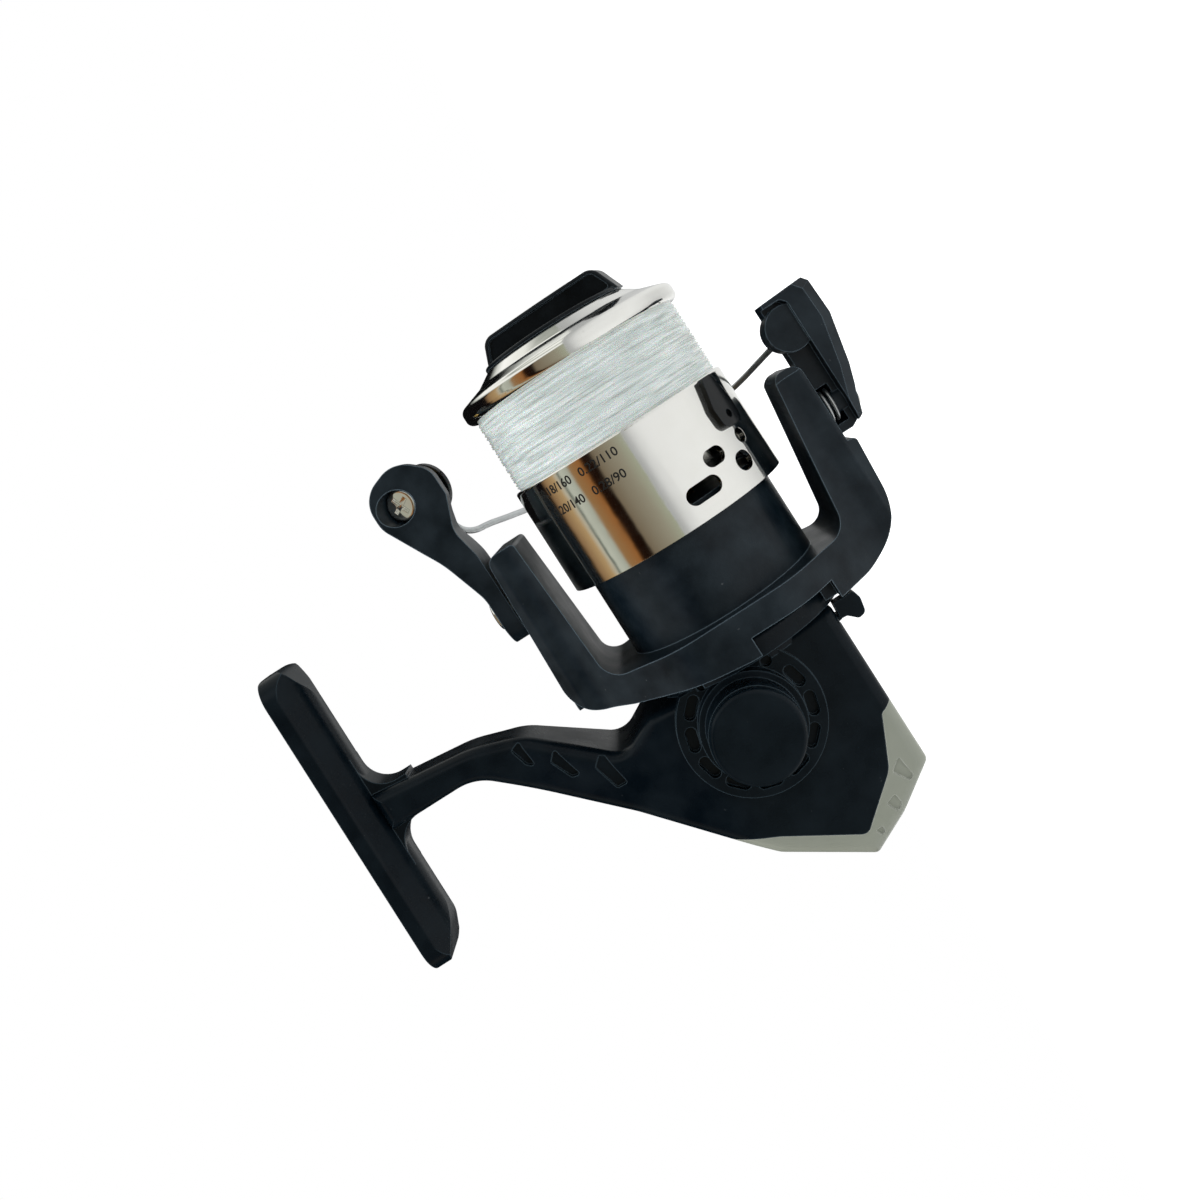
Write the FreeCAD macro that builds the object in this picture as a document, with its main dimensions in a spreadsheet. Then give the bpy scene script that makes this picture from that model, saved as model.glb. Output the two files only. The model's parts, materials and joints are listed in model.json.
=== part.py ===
"""A small front-drag spinning reel, as separate pieces in millimetres.

The origin is the centre of the foot's mounting face. +X points forward along the spool axis, towards
the drag knob, +Z points up from the reel to the rod, and +Y points to the handle side. Most pieces
are drawn in reel coordinates, whose origin is on the spool axis in the plane of the spool's front
lip, and are then placed below the foot by the lip_station and axis_drop sizes.
"""
import FreeCAD, Part
import math
import os

import Sketcher

Vector = FreeCAD.Vector
X_WAY = Vector(1, 0, 0)
Y_WAY = Vector(0, 1, 0)
Z_WAY = Vector(0, 0, 1)

SIZES = {
    "Place of the spool in the reel": {
        "lip_station": 47.0,
        "axis_drop": 74.2,
        "running_gap": 0.05,
    },
    "Foot and stem": {
        "foot_front": 18.5,
        "foot_rear": 75.5,
        "foot_width": 13.0,
        "foot_edge": 2.6,
        "foot_depth": 6.4,
        "stem_front": 44.8,
        "stem_rear": 51.6,
        "stem_half_width": 4.8,
    },
    "Gear case": {
        "case_front": 57.2,
        "case_bottom": 14.0,
        "case_tail": 95.6,
        "case_half_width": 12.5,
        "case_bevel": 2.0,
        "parting": 4.0,
        "cover_top": 24.5,
        "collar_radius": 17.6,
        "collar_length": 3.6,
        "nose_radius": 9.0,
        "ring_radius": 12.3,
        "ring_height": 0.8,
        "ring_slot_radius": 10.0,
        "ring_slot_count": 12.0,
        "ring_slot_width": 1.9,
        "ring_slot_length": 4.2,
        "boss_collar_radius": 8.8,
        "tower_radius": 7.7,
        "tower_top": 21.4,
        "cap_radius": 7.5,
        "cap_height": 2.0,
    },
    "Gears": {
        "gear_behind": 66.0,
        "gear_above": 6.7,
        "face_gear_teeth": 36.0,
        "face_gear_radius": 11.0,
        "face_gear_inner": 9.8,
        "face_gear_outer": 12.0,
        "pinion_teeth": 7.0,
        "pinion_root": 2.1,
        "pinion_addendum": 0.5,
        "pinion_length": 5.8,
        "axle_radius": 3.0,
        "spur_module": 0.8,
        "spur_drive_teeth": 15.0,
        "spur_driven_teeth": 17.0,
        "spur_width": 2.3,
        "spur_front": 5.7,
        "crank_radius": 4.4,
        "crank_pin_radius": 1.0,
        "crank_ahead": 2.0,
    },
    "Shaft and pinion sleeve": {
        "shaft_radius": 1.5,
        "shaft_front": 8.2,
        "shaft_length": 85.7,
        "sleeve_radius": 3.0,
        "bearing_radius": 6.0,
        "ratchet_radius": 7.2,
        "ratchet_teeth": 10.0,
        "ratchet_width": 1.4,
    },
    "Rotor": {
        "rotor_radius": 17.5,
        "rotor_wall": 1.7,
        "rotor_front": 31.0,
        "rotor_floor": 48.6,
        "rotor_tread": 53.1,
        "rotor_rear": 56.3,
        "rotor_half_depth": 20.6,
        "arm_half_width": 8.3,
        "arm_tip": 21.4,
        "foot_arm_inner": 22.8,
        "foot_arm_outer": 30.9,
        "far_arm_inner": 22.8,
        "far_arm_outer": 32.9,
    },
    "Spool": {
        "lip_radius": 21.0,
        "spool_front": 4.9,
        "arbor_radius": 11.5,
        "line_front": 1.5,
        "line_rear": 15.0,
        "line_radius": 19.7,
        "skirt_radius": 20.5,
        "skirt_wall": 1.1,
        "skirt_rear": 34.2,
        "drag_pocket_radius": 9.4,
        "drag_pocket_floor": 4.0,
        "line_thickness": 0.25,
        "line_turn_count": 10.0,
    },
    "Drag knob": {
        "knob_radius": 13.6,
        "knob_top": 10.4,
        "grip_half_length": 13.4,
        "grip_half_width": 3.9,
        "grip_turn": 12.0,
    },
    "Bail": {
        "pivot_behind": 31.0,
        "pivot_disc_radius": 5.4,
        "bail_wire_radius": 0.58,
        "holder_half_width": 4.7,
        "bail_reach": 45.0,
        "bail_crown": 28.0,
        "roller_radius": 3.6,
        "roller_length": 5.0,
        "roller_behind": 6.2,
        "roller_height": 35.0,
        "roller_tilt": 25.0,
    },
    "Handle": {
        "handle_out": 49.5,
        "arm_length": 42.0,
        "arm_thickness": 3.2,
        "arm_root_radius": 5.2,
        "arm_end_radius": 3.9,
        "shank_radius": 3.2,
        "grip_radius": 6.6,
        "grip_length": 24.0,
        "spindle_radius": 1.6,
    },
}


class Size:
    """A driving size, or one worked out from several, as a number and as its formula."""

    def __init__(self, value, formula):
        self.value = value
        self.formula = formula

    def __add__(self, other):
        return joined(self, "+", other)

    def __radd__(self, other):
        return joined(other, "+", self)

    def __sub__(self, other):
        return joined(self, "-", other)

    def __rsub__(self, other):
        return joined(other, "-", self)

    def __mul__(self, other):
        return joined(self, "*", other)

    def __rmul__(self, other):
        return joined(other, "*", self)

    def __truediv__(self, other):
        return joined(self, "/", other)

    def __rtruediv__(self, other):
        return joined(other, "/", self)

    def __neg__(self):
        return joined(0.0, "-", self)

    def __float__(self):
        return float(self.value)


def formula(size):
    """The text that an object's expression needs for a size or a plain number."""
    if isinstance(size, Size):
        return size.formula
    return "(%r)" % float(size)


def joined(left, operation, right):
    """The sum, difference, product or quotient of two sizes."""
    one, two = float(left), float(right)
    if operation == "+":
        value = one + two
    elif operation == "-":
        value = one - two
    elif operation == "*":
        value = one * two
    else:
        value = one / two
    return Size(value, "(%s %s %s)" % (formula(left), operation, formula(right)))


def root(size):
    """The square root of a size."""
    return Size(math.sqrt(float(size)), "sqrt(%s)" % formula(size))


class Sheet:
    """The spreadsheet of driving sizes, read by name."""

    def __init__(self, document):
        self.cells = document.addObject("Spreadsheet::Sheet", "size")
        row = 1
        for heading, group in SIZES.items():
            self.cells.set("A%d" % row, heading)
            row += 1
            for name, value in group.items():
                self.cells.set("A%d" % row, name.replace("_", " "))
                self.cells.set("B%d" % row, repr(value))
                self.cells.setAlias("B%d" % row, name)
                setattr(self, name, Size(value, "size." + name))
                row += 1


doc = FreeCAD.newDocument("spinning_reel")
s = Sheet(doc)
doc.recompute()


def bind(thing, prop, size):
    """Ties one property of an object to a size."""
    thing.setExpression(prop, formula(size))


def place(thing, x=0.0, y=0.0, z=0.0):
    """Puts an object, drawn in reel coordinates, at its place below the foot."""
    bind(thing, "Placement.Base.x", s.lip_station + x)
    bind(thing, "Placement.Base.y", y)
    bind(thing, "Placement.Base.z", z - s.axis_drop)


def aim(thing, axis):
    """Turns an object whose own axis is X so that it lies along another axis."""
    turns = {"X": FreeCAD.Rotation(), "Y": FreeCAD.Rotation(Vector(0, 0, 1), 90),
             "Z": FreeCAD.Rotation(Vector(0, 1, 0), -90)}
    thing.Placement = FreeCAD.Placement(thing.Placement.Base, turns[axis])


# Sketches, bodies and features

PLANES = {"XY": ("XY_Plane", 1), "XZ": ("XZ_Plane", -1), "YZ": ("YZ_Plane", 1)}


def new_body(name):
    return doc.addObject("PartDesign::Body", name)


def new_sketch(body, plane, level):
    """An empty sketch parallel to one of the body's origin planes, at a level along its axis."""
    role, sense = PLANES[plane]
    sketch = body.newObject("Sketcher::SketchObject", body.Name + "_sketch")
    origin = [item for item in body.Origin.OriginFeatures if item.Role == role]
    sketch.AttachmentSupport = [(origin[0], "")]
    sketch.MapMode = "FlatFace"
    bind(sketch, "AttachmentOffset.Base.z", sense * level)
    return sketch


def corner_arc(before, corner, after, radius):
    """Where a rounded corner leaves and meets its two sides, and its arc's centre."""
    one = (before - corner).normalize()
    two = (after - corner).normalize()
    half = one.getAngle(two) / 2
    start = corner + one * (radius / math.tan(half))
    end = corner + two * (radius / math.tan(half))
    centre = corner + (one + two).normalize() * (radius / math.sin(half))
    return start, end, centre


def draw_outline(sketch, corners):
    """Draws a closed outline; each corner is (across, up) or (across, up, radius)."""
    count = len(corners)
    points = [Vector(float(corner[0]), float(corner[1]), 0) for corner in corners]
    radii = [float(corner[2]) if len(corner) > 2 else 0.0 for corner in corners]
    ends = []
    for i in range(count):
        if radii[i] > 0:
            ends.append(corner_arc(points[i - 1], points[i], points[(i + 1) % count], radii[i]))
        else:
            ends.append((points[i], points[i], None))
    for i in range(count):
        sketch.addGeometry(Part.LineSegment(ends[i][1], ends[(i + 1) % count][0]), False)
    rules = []
    bound = []

    def rule(size, *words):
        bound.append((len(rules), size))
        rules.append(Sketcher.Constraint(*words, float(size)))

    for i in range(count):
        side_in, side_out = (i - 1) % count, i
        start, end, centre = ends[i]
        if centre is None:
            rules.append(Sketcher.Constraint("Coincident", side_in, 2, side_out, 1))
            rule(corners[i][0], "DistanceX", -1, 1, side_out, 1)
            rule(corners[i][1], "DistanceY", -1, 1, side_out, 1)
            continue
        left_turn = (points[i] - points[i - 1]).cross(points[(i + 1) % count] - points[i]).z > 0
        first, last = (start, end) if left_turn else (end, start)
        circle = Part.Circle(centre, Vector(0, 0, 1), radii[i])
        angles = [math.atan2(point.y - centre.y, point.x - centre.x) for point in (first, last)]
        arc = sketch.addGeometry(Part.ArcOfCircle(circle, angles[0], angles[1]), False)
        peak = sketch.addGeometry(Part.Point(points[i]), True)
        rules.append(Sketcher.Constraint("Tangent", side_in, 2, arc, 1 if left_turn else 2))
        rules.append(Sketcher.Constraint("Tangent", side_out, 1, arc, 2 if left_turn else 1))
        rules.append(Sketcher.Constraint("PointOnObject", peak, 1, side_in))
        rules.append(Sketcher.Constraint("PointOnObject", peak, 1, side_out))
        rule(corners[i][2], "Radius", arc)
        rule(corners[i][0], "DistanceX", -1, 1, peak, 1)
        rule(corners[i][1], "DistanceY", -1, 1, peak, 1)
    sketch.addConstraint(rules)
    for index, size in bound:
        if isinstance(size, Size):
            sketch.setExpression("Constraints[%d]" % index, formula(size))


def pad(body, plane, corners, low, high):
    """Adds a prism whose outline lies on a plane and which reaches from low to high along its axis."""
    sense = PLANES[plane][1]
    sketch = new_sketch(body, plane, low if sense > 0 else high)
    draw_outline(sketch, corners)
    feature = body.newObject("PartDesign::Pad", body.Name + "_pad")
    feature.Profile = sketch
    bind(feature, "Length", high - low)
    return feature


def prism(name, plane, corners, low, high):
    """A body that is one prism."""
    body = new_body(name)
    pad(body, plane, corners, low, high)
    return body


def turned(name, profile):
    """A body turned about its own X axis from a profile of (station, radius) corners."""
    body = new_body(name)
    sketch = new_sketch(body, "XY", 0.0)
    draw_outline(sketch, profile)
    feature = body.newObject("PartDesign::Revolution", name + "_turning")
    feature.Profile = sketch
    feature.ReferenceAxis = (sketch, ["H_Axis"])
    feature.Angle = 360
    return body


def tube(name, low, high, inner, outer):
    """A plain ring or sleeve about X."""
    return turned(name, [(low, inner), (high, inner), (high, outer), (low, outer)])


def rod(name, low, high, radius):
    """A plain round rod about X."""
    return turned(name, [(low, 0.0), (high, 0.0), (high, radius), (low, radius)])


def cylinder(name, axis, x, y, z, radius, length):
    """A round solid that starts at a point and runs along an axis."""
    thing = doc.addObject("Part::Cylinder", name)
    bind(thing, "Radius", radius)
    bind(thing, "Height", length)
    turns = {"X": (Vector(0, 1, 0), 90), "Y": (Vector(1, 0, 0), -90), "Z": (Vector(0, 0, 1), 0)}
    thing.Placement = FreeCAD.Placement(Vector(), FreeCAD.Rotation(*turns[axis]))
    for letter, size in zip("xyz", (x, y, z)):
        bind(thing, "Placement.Base." + letter, size)
    return thing


def block(name, low, high):
    """A box between two corners."""
    thing = doc.addObject("Part::Box", name)
    for side, letter, one, two in zip(("Length", "Width", "Height"), "xyz", low, high):
        bind(thing, side, two - one)
        bind(thing, "Placement.Base." + letter, one)
    return thing


def fused(name, things):
    thing = doc.addObject("Part::MultiFuse", name)
    thing.Shapes = things
    thing.Refine = True
    return thing


def shared(name, base, tool):
    thing = doc.addObject("Part::Common", name)
    thing.Base = base
    thing.Tool = tool
    thing.Refine = True
    return thing


def cut(name, base, tools):
    thing = doc.addObject("Part::Cut", name)
    thing.Base = base
    thing.Tool = tools[0] if len(tools) == 1 else fused(name + "_tools", tools)
    thing.Refine = True
    return thing


def solid(name, shape):
    """A piece whose shape is worked out in code from the sheet."""
    thing = doc.addObject("Part::Feature", name)
    thing.Shape = Part.makeCompound([shape]) if shape.Placement != FreeCAD.Placement() else shape
    return thing


def softened(name, base, radius, chosen, chamfer=False):
    """Rounds or bevels the edges of an object that a test picks."""
    doc.recompute()
    kind = "Part::Chamfer" if chamfer else "Part::Fillet"
    thing = doc.addObject(kind, name)
    thing.Base = base
    thing.Edges = [(i + 1, float(radius), float(radius))
                   for i, edge in enumerate(base.Shape.Edges) if chosen(edge)]
    return thing


pieces = {}


def keep(name, thing, placed=True):
    """Names a finished piece and seats it, drawn in reel coordinates, in the reel."""
    thing.Label = name
    if placed:
        place(thing)
    pieces[name] = thing
    return thing


# Shapes worked out point by point: teeth, coils and bent wire

def spur_gear(teeth, module, low, high, bore, start):
    """A spur gear about Y, centred on the axis, with one tooth at the start angle."""
    pitch = module * teeth / 2
    points = []
    for k in range(int(teeth)):
        middle = start + 2 * math.pi * k / teeth
        for radius, half in ((pitch - 1.1 * module, 0.98 * module), (pitch - 0.1 * module, 0.66 * module),
                             (pitch + 0.8 * module, 0.30 * module)):
            points.append((middle - half / radius, radius))
        for radius, half in ((pitch + 0.8 * module, 0.30 * module), (pitch - 0.1 * module, 0.66 * module),
                             (pitch - 1.1 * module, 0.98 * module)):
            points.append((middle + half / radius, radius))
    corners = [Vector(radius * math.cos(angle), low, radius * math.sin(angle)) for angle, radius in points]
    face = Part.Face(Part.makePolygon(corners + corners[:1]))
    gear = face.extrude(Vector(0, high - low, 0))
    return gear.cut(Part.makeCylinder(bore, high - low, Vector(0, low, 0), Vector(0, 1, 0)))


def loft(sections):
    """A solid through closed rings of points."""
    return Part.makeLoft([Part.makePolygon(ring + ring[:1]) for ring in sections], True, True)


def face_teeth(phase):
    """The drive gear's ring of teeth, which point towards -Y, about its own axis."""
    tip = float(pinion_pitch) - 0.3
    teeth = []
    for k in range(int(float(s.face_gear_teeth))):
        angle = phase + 2 * math.pi * k / float(s.face_gear_teeth)
        out = Vector(math.cos(angle), 0, math.sin(angle))
        side = Vector(-math.sin(angle), 0, math.cos(angle))
        sections = []
        for radius in (float(s.face_gear_inner), float(s.face_gear_outer)):
            wide = 0.30 * radius / float(s.face_gear_radius)
            narrow = 0.175 * radius / float(s.face_gear_radius)
            sections.append([out * radius + side * half + Vector(0, level, 0)
                             for half, level in ((-wide, 3.6), (-narrow, tip), (narrow, tip), (wide, 3.6))])
        teeth.append(loft(sections))
    return teeth


def pinion_threads():
    """The pinion's helical teeth, which run with the drive gear's radial ones."""
    low, high = -(float(s.gear_behind) - 5.8), -(float(s.gear_behind) - 5.8) + float(s.pinion_length)
    twist = -math.tan(mesh_angle) / float(pinion_pitch)
    teeth = []
    for k in range(int(float(s.pinion_teeth))):
        sections = []
        for step in range(6):
            x = low + (high - low) * step / 5
            middle = 2 * math.pi * k / float(s.pinion_teeth) + twist * (x - mesh_station)
            ring = []
            for radius, half in ((float(s.pinion_root) - 0.15, -19), (float(pinion_pitch + s.pinion_addendum), -6),
                                 (float(pinion_pitch + s.pinion_addendum), 6),
                                 (float(s.pinion_root) - 0.15, 19)):
                angle = middle + math.radians(half)
                ring.append(Vector(x, radius * math.cos(angle), radius * math.sin(angle)))
            sections.append(ring)
        teeth.append(loft(sections))
    return teeth


def arc_edge(start, tangent, end):
    """The circular arc that leaves a point along a tangent and reaches another point."""
    chord = end - start
    across = tangent - chord * (tangent.dot(chord) / chord.dot(chord))
    if across.Length < 1e-9:
        return Part.makeLine(start, end)
    half_turn = tangent.getAngle(chord) / 2
    middle = start + chord / 2 + across.normalize() * (chord.Length / 2 * math.tan(half_turn))
    return Part.Arc(start, middle, end).toShape()


def biarc(start, start_tangent, end, end_tangent):
    """Two arcs that leave one point and reach another along given tangents."""
    chord = end - start
    both = start_tangent + end_tangent
    square = 2 * (1 - start_tangent.dot(end_tangent))
    linear = 2 * chord.dot(both)
    if abs(square) < 1e-9:
        reach = chord.dot(chord) / linear
    else:
        reach = (-linear + math.sqrt(linear * linear + 4 * square * chord.dot(chord))) / (2 * square)
    knee_one = start + start_tangent * reach
    knee_two = end - end_tangent * reach
    joint = (knee_one + knee_two) / 2
    middle_tangent = (knee_two - knee_one).normalize()
    return [arc_edge(start, start_tangent, joint), arc_edge(joint, middle_tangent, end)]


def helix(radius, pitch, turns, start_angle, start_station, sense=-1):
    """Arcs along a helix about X, four pairs a turn, with the end points and tangents."""
    def at(angle):
        point = Vector(start_station + sense * pitch * angle / (2 * math.pi),
                       radius * math.cos(start_angle + angle), radius * math.sin(start_angle + angle))
        tangent = Vector(sense * pitch / (2 * math.pi), -radius * math.sin(start_angle + angle),
                         radius * math.cos(start_angle + angle)).normalize()
        return point, tangent

    edges = []
    count = int(round(turns * 4))
    for k in range(count):
        one, two = at(math.pi / 2 * k), at(math.pi / 2 * (k + 1))
        edges += biarc(one[0], one[1], two[0], two[1])
    return edges, at(0.0), at(math.pi / 2 * count)


def swept(edges, radius):
    """A round wire along a chain of edges."""
    path = Part.Wire(edges)
    start = path.OrderedVertexes[0].Point
    first = path.OrderedEdges[0]
    along = first.tangentAt(first.FirstParameter)
    if (first.valueAt(first.FirstParameter) - start).Length > 1e-6:
        along = first.tangentAt(first.LastParameter) * -1
    ring = Part.Wire([Part.makeCircle(radius, start, along)])
    return path.makePipeShell([ring], True, False)


def spread(count, shape, axis):
    """Copies of a shape around an axis through the origin."""
    copies = []
    for k in range(count):
        copy = shape.copy()
        copy.rotate(Vector(), axis, 360.0 * k / count)
        copies.append(copy)
    return copies


def screw_shape(head_radius, head_height, shank_radius, length, recess=True):
    """A screw about X: the head's top is at the origin, and the shank runs towards -X."""
    head = Part.makeCylinder(head_radius, head_height, Vector(-head_height, 0, 0), Vector(1, 0, 0))
    rim = [edge for edge in head.Edges if edge.BoundBox.XMin > -1e-6 and edge.Length > head_radius]
    head = head.makeFillet(head_height * 0.45, rim)
    shank = Part.makeCylinder(shank_radius, length, Vector(-head_height - length, 0, 0), Vector(1, 0, 0))
    screw = head.fuse(shank)
    if recess:
        long, wide, deep = head_radius * 1.2, head_radius * 0.26, head_height * 0.55
        for one, two in ((long, wide), (wide, long)):
            slot = Part.makeBox(deep + 0.1, one, two, Vector(-deep, -one / 2, -two / 2))
            screw = screw.cut(slot)
    return screw


def moved(shape, axis, point):
    """A shape drawn about X, turned to point along another axis and moved to a point."""
    copy = shape.copy()
    turn = FreeCAD.Rotation(Vector(1, 0, 0), axis)
    copy.Placement = FreeCAD.Placement(point, turn)
    return copy


# Gear case, stem and foot

case_side = prism("case_side", "XZ", [
    (-s.case_front, -s.case_bottom, 1.0), (-86.9, -s.case_bottom, 1.2), (-92.0, -6.6, 12), (-s.case_tail, 0.9, 1.2),
    (-87.0, 14.3, 6), (-70.2, 30.8, 30), (-s.stem_rear, 51.8, 9), (-s.stem_rear, 68.2), (-s.stem_front, 68.2),
    (-46.9, 50.0, 22), (-49.9, 41.0, 12), (-60.8, 27.6, 4), (-s.case_front, 20.6, 3)], -15.0, 15.0)
case_section = prism("case_section", "YZ", [
    (-s.case_half_width, -20.0), (s.case_half_width, -20.0), (s.case_half_width, 15.5, 25), (5.2, 43.0, 25),
    (s.stem_half_width, 70.0), (-s.stem_half_width, 70.0), (-5.2, 43.0, 25), (-s.case_half_width, 15.5, 25)],
    -100.0, -40.0)
case_block = shared("case_block", case_side, case_section)


def case_outside(edge):
    box = edge.BoundBox
    near_side = box.YMax < -4 or box.YMin > 4
    front_wall = box.XMin > -60 and box.ZMax < 27
    return near_side and not front_wall


case_core = softened("case_core", case_block, s.case_bevel, case_outside)

foot_side = prism("foot_side", "XZ", [
    (-s.foot_front, s.axis_drop, 0.5), (-s.foot_front, s.axis_drop - 4.6, 2.2),
    (-s.foot_front - 5.5, s.axis_drop - s.foot_depth, 8), (-s.foot_rear + 6.5, s.axis_drop - s.foot_depth, 9),
    (-s.foot_rear, s.axis_drop - 2.8, 1.6), (-s.foot_rear, s.axis_drop, 0.5)], -10.0, 10.0)
foot_plan = prism("foot_plan", "XY", [
    (-s.foot_front, -s.foot_width / 2, 4.5), (-s.foot_front, s.foot_width / 2, 4.5),
    (-s.foot_rear, s.foot_width / 2, 4.5), (-s.foot_rear, -s.foot_width / 2, 4.5)], 60.0, 80.0)
foot_section = prism("foot_section", "YZ", [
    (-s.foot_width / 2, 80.0), (-s.foot_width / 2, s.axis_drop - s.foot_edge, 0.8),
    (-2.6, s.axis_drop - s.foot_depth, 5), (2.6, s.axis_drop - s.foot_depth, 5),
    (s.foot_width / 2, s.axis_drop - s.foot_edge, 0.8), (s.foot_width / 2, 80.0)], -80.0, -15.0)
foot = shared("foot", shared("foot_blank", foot_side, foot_plan), foot_section)
stem_roots = [prism("stem_root_behind", "XZ", [
    (-s.stem_rear + 1.5, 61.5), (-s.stem_rear - 0.05, 61.5), (-s.stem_rear - 0.05, 68.2, 5),
    (-s.stem_rear - 7.0, 68.2), (-s.stem_rear - 7.0, 69.5), (-s.stem_rear + 1.5, 69.5)], -2.7, 2.7),
              prism("stem_root_ahead", "XZ", [
    (-s.stem_front - 1.5, 61.5), (-s.stem_front + 0.05, 61.5), (-s.stem_front + 0.05, 68.2, 5),
    (-s.stem_front + 7.0, 68.2), (-s.stem_front + 7.0, 69.5), (-s.stem_front - 1.5, 69.5)], -2.7, 2.7)]

SEAM = [(-74.4, -16.5), (-76.3, -11.6, 0.8), (-84.6, -7.7, 5), (-91.6, 0.7, 1.5), (-84.2, 13.0, 8), (-79.9, 22.6)]
TRIM_OUTLINE = SEAM + [(-100.0, 22.6), (-100.0, -16.5)]
TONGUE = [(-79.0, -7.0), (-84.4, -11.6), (-86.0, -11.6), (-93.0, 0.9), (-85.6, 12.4), (-79.0, 12.4)]
COVER_OUTLINE = [(-s.case_front, -16.5)] + SEAM + [(-77.0, 30.0), (-70.0, s.cover_top), (-s.case_front, s.cover_top)]
CAVITY = [(-59.4, -12.2), (-74.0, -12.2, 1.5), (-76.0, -9.7), (-79.6, -7.9), (-83.8, -6.1), (-86.7, -3.9),
          (-88.8, 0.6, 1.0), (-79.4, 19.2, 2.0), (-59.4, 19.2, 1.0)]
COVER_SCREWS = [(-67.0, -10.4), (-77.2, 16.4), (-60.9, 21.2)]
SCREW_SEATS = [11.0, 11.0, 9.6]
spur_centres = s.spur_module * (s.spur_drive_teeth + s.spur_driven_teeth) / 2.0
crank_behind = s.gear_behind + root(spur_centres * spur_centres - s.gear_above * s.gear_above)

tongue = prism("tongue", "XZ", TONGUE, -6.0, 6.0)
case_room = prism("case_room", "XZ", CAVITY, -10.0, s.parting)
gear_room = cylinder("gear_room", "Y", -s.gear_behind, 1.8, s.gear_above, s.face_gear_outer + 0.5, 4.8)
pinion_room = cylinder("pinion_room", "X", -60.0, 0.0, 0.0, 3.9, 7.0)
spur_tip = s.spur_module * (s.spur_drive_teeth / 2.0 + 0.8)
spur_room = cylinder("spur_room", "Y", -s.gear_behind, -s.spur_front - s.spur_width - 0.3, s.gear_above,
                     spur_tip + 0.5, s.spur_width + 0.6)

collar = turned("collar", [
    (-59.0, 6.2), (-59.0, 13.6), (-s.case_front, 13.6), (-s.case_front, s.collar_radius),
    (-s.case_front + s.collar_length, s.collar_radius, 0.8), (-s.case_front + s.collar_length, 13.6),
    (-52.2, 13.6), (-52.2, s.nose_radius), (-50.2, s.nose_radius), (-50.2, 5.0), (-56.0, 5.0), (-56.0, 6.2)])
bearing_seat = cylinder("bearing_seat", "X", -53.6, 0.0, 0.0, s.bearing_radius, 4.0)

boss_ring = cylinder("boss_ring", "Y", -s.gear_behind, -s.case_half_width - s.ring_height, s.gear_above,
                     s.ring_radius, 3.0)
boss_collar = cylinder("boss_collar", "Y", -s.gear_behind, -16.0, s.gear_above, s.boss_collar_radius, 6.0)
boss_tower = cylinder("boss_tower", "Y", -s.gear_behind, -s.tower_top, s.gear_above, s.tower_radius, 11.4)

RING_SLOT_DEPTH = 1.3
ROUND_PLACE = 4


def boss_slots():
    """The rounded slots in the ring around the boss; one place in the row has a round hole."""
    half = float(s.ring_slot_width) / 2
    straight = float(s.ring_slot_length) - 2 * half
    radius = float(s.ring_slot_radius)
    slot = Part.makeBox(straight, RING_SLOT_DEPTH + 1, 2 * half, Vector(-straight / 2, 0, radius - half))
    for end in (-straight / 2, straight / 2):
        slot = slot.fuse(Part.makeCylinder(half, RING_SLOT_DEPTH + 1, Vector(end, 0, radius), Y_WAY))
    slots = spread(int(float(s.ring_slot_count)), slot, Y_WAY)
    hole = Part.makeCylinder(half, RING_SLOT_DEPTH + 1, Vector(0, 0, radius), Y_WAY)
    hole.rotate(Vector(), Y_WAY, 360.0 * ROUND_PLACE / float(s.ring_slot_count))
    slots[ROUND_PLACE] = hole
    row = Part.makeCompound(slots)
    row.rotate(Vector(), Y_WAY, 180.0 / float(s.ring_slot_count))
    row.translate(Vector(-float(s.gear_behind), -float(s.case_half_width) - float(s.ring_height) - 1,
                         float(s.gear_above)))
    return row


STEM_SLOTS = [([(-50.1, 42.0, 0.4), (-50.7, 43.8, 0.4), (-54.0, 42.8, 0.4), (-55.1, 41.4, 0.4)], 4.5),
              ([(-54.0, 37.4, 0.4), (-55.7, 39.0, 0.4), (-59.5, 37.2, 0.4), (-59.8, 35.6, 0.4)], 5.9),
              ([(-58.1, 30.8, 0.4), (-60.0, 32.9, 0.4), (-64.7, 31.5, 0.4), (-64.7, 29.5, 0.4)], 7.6)]
stem_slots = []
for number, (corners, depth) in enumerate(STEM_SLOTS):
    stem_slots.append(prism("stem_slot_%d" % number, "XZ", corners, -20.0, -depth))
    stem_slots.append(prism("stem_slot_%d_back" % number, "XZ", corners, depth, 20.0))

case_posts = [cylinder("case_post_%d" % k, "Y", x, -10.2, z, 2.4, s.parting + 10.2)
              for k, (x, z) in enumerate(COVER_SCREWS[:2])]
gear_stud = cylinder("gear_stud", "Y", -crank_behind, -10.2, 0.0, 1.8, 4.3)
case_holes = [cylinder("case_hole_%d" % k, "Y", x, -6.0, z, 0.95, 20.0)
              for k, (x, z) in enumerate(COVER_SCREWS)]
bush_bore = cylinder("bush_bore", "Y", -s.gear_behind, -15.6, s.gear_above, 5.0, 7.0)
cap_bore = cylinder("cap_bore", "Y", -s.gear_behind, -s.tower_top - 1.0, s.gear_above, 4.2, 8.0)
trim_room = prism("trim_room", "XZ", TRIM_OUTLINE, -16.0, 16.0)
cover_room = prism("cover_room", "XZ", COVER_OUTLINE, s.parting, 16.0)
lever_slot = block("lever_slot", (-61.0, -11.2, -15.0), (-59.3, -2.6, -11.0))
lever_bore = cylinder("lever_bore", "X", -62.0, -6.5, -10.2, 1.15, 12.0)
pawl_hole = cylinder("pawl_hole", "X", -56.0, 10.4, -6.0, 0.95, 5.0)
rotor_space = tube("rotor_space", -s.rotor_rear - 0.25, -50.0, 18.0, 30.0)
trim_screw_hole = cylinder("trim_screw_hole", "Y", -86.0, 2.0, -9.0, 0.95, 10.0)

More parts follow.
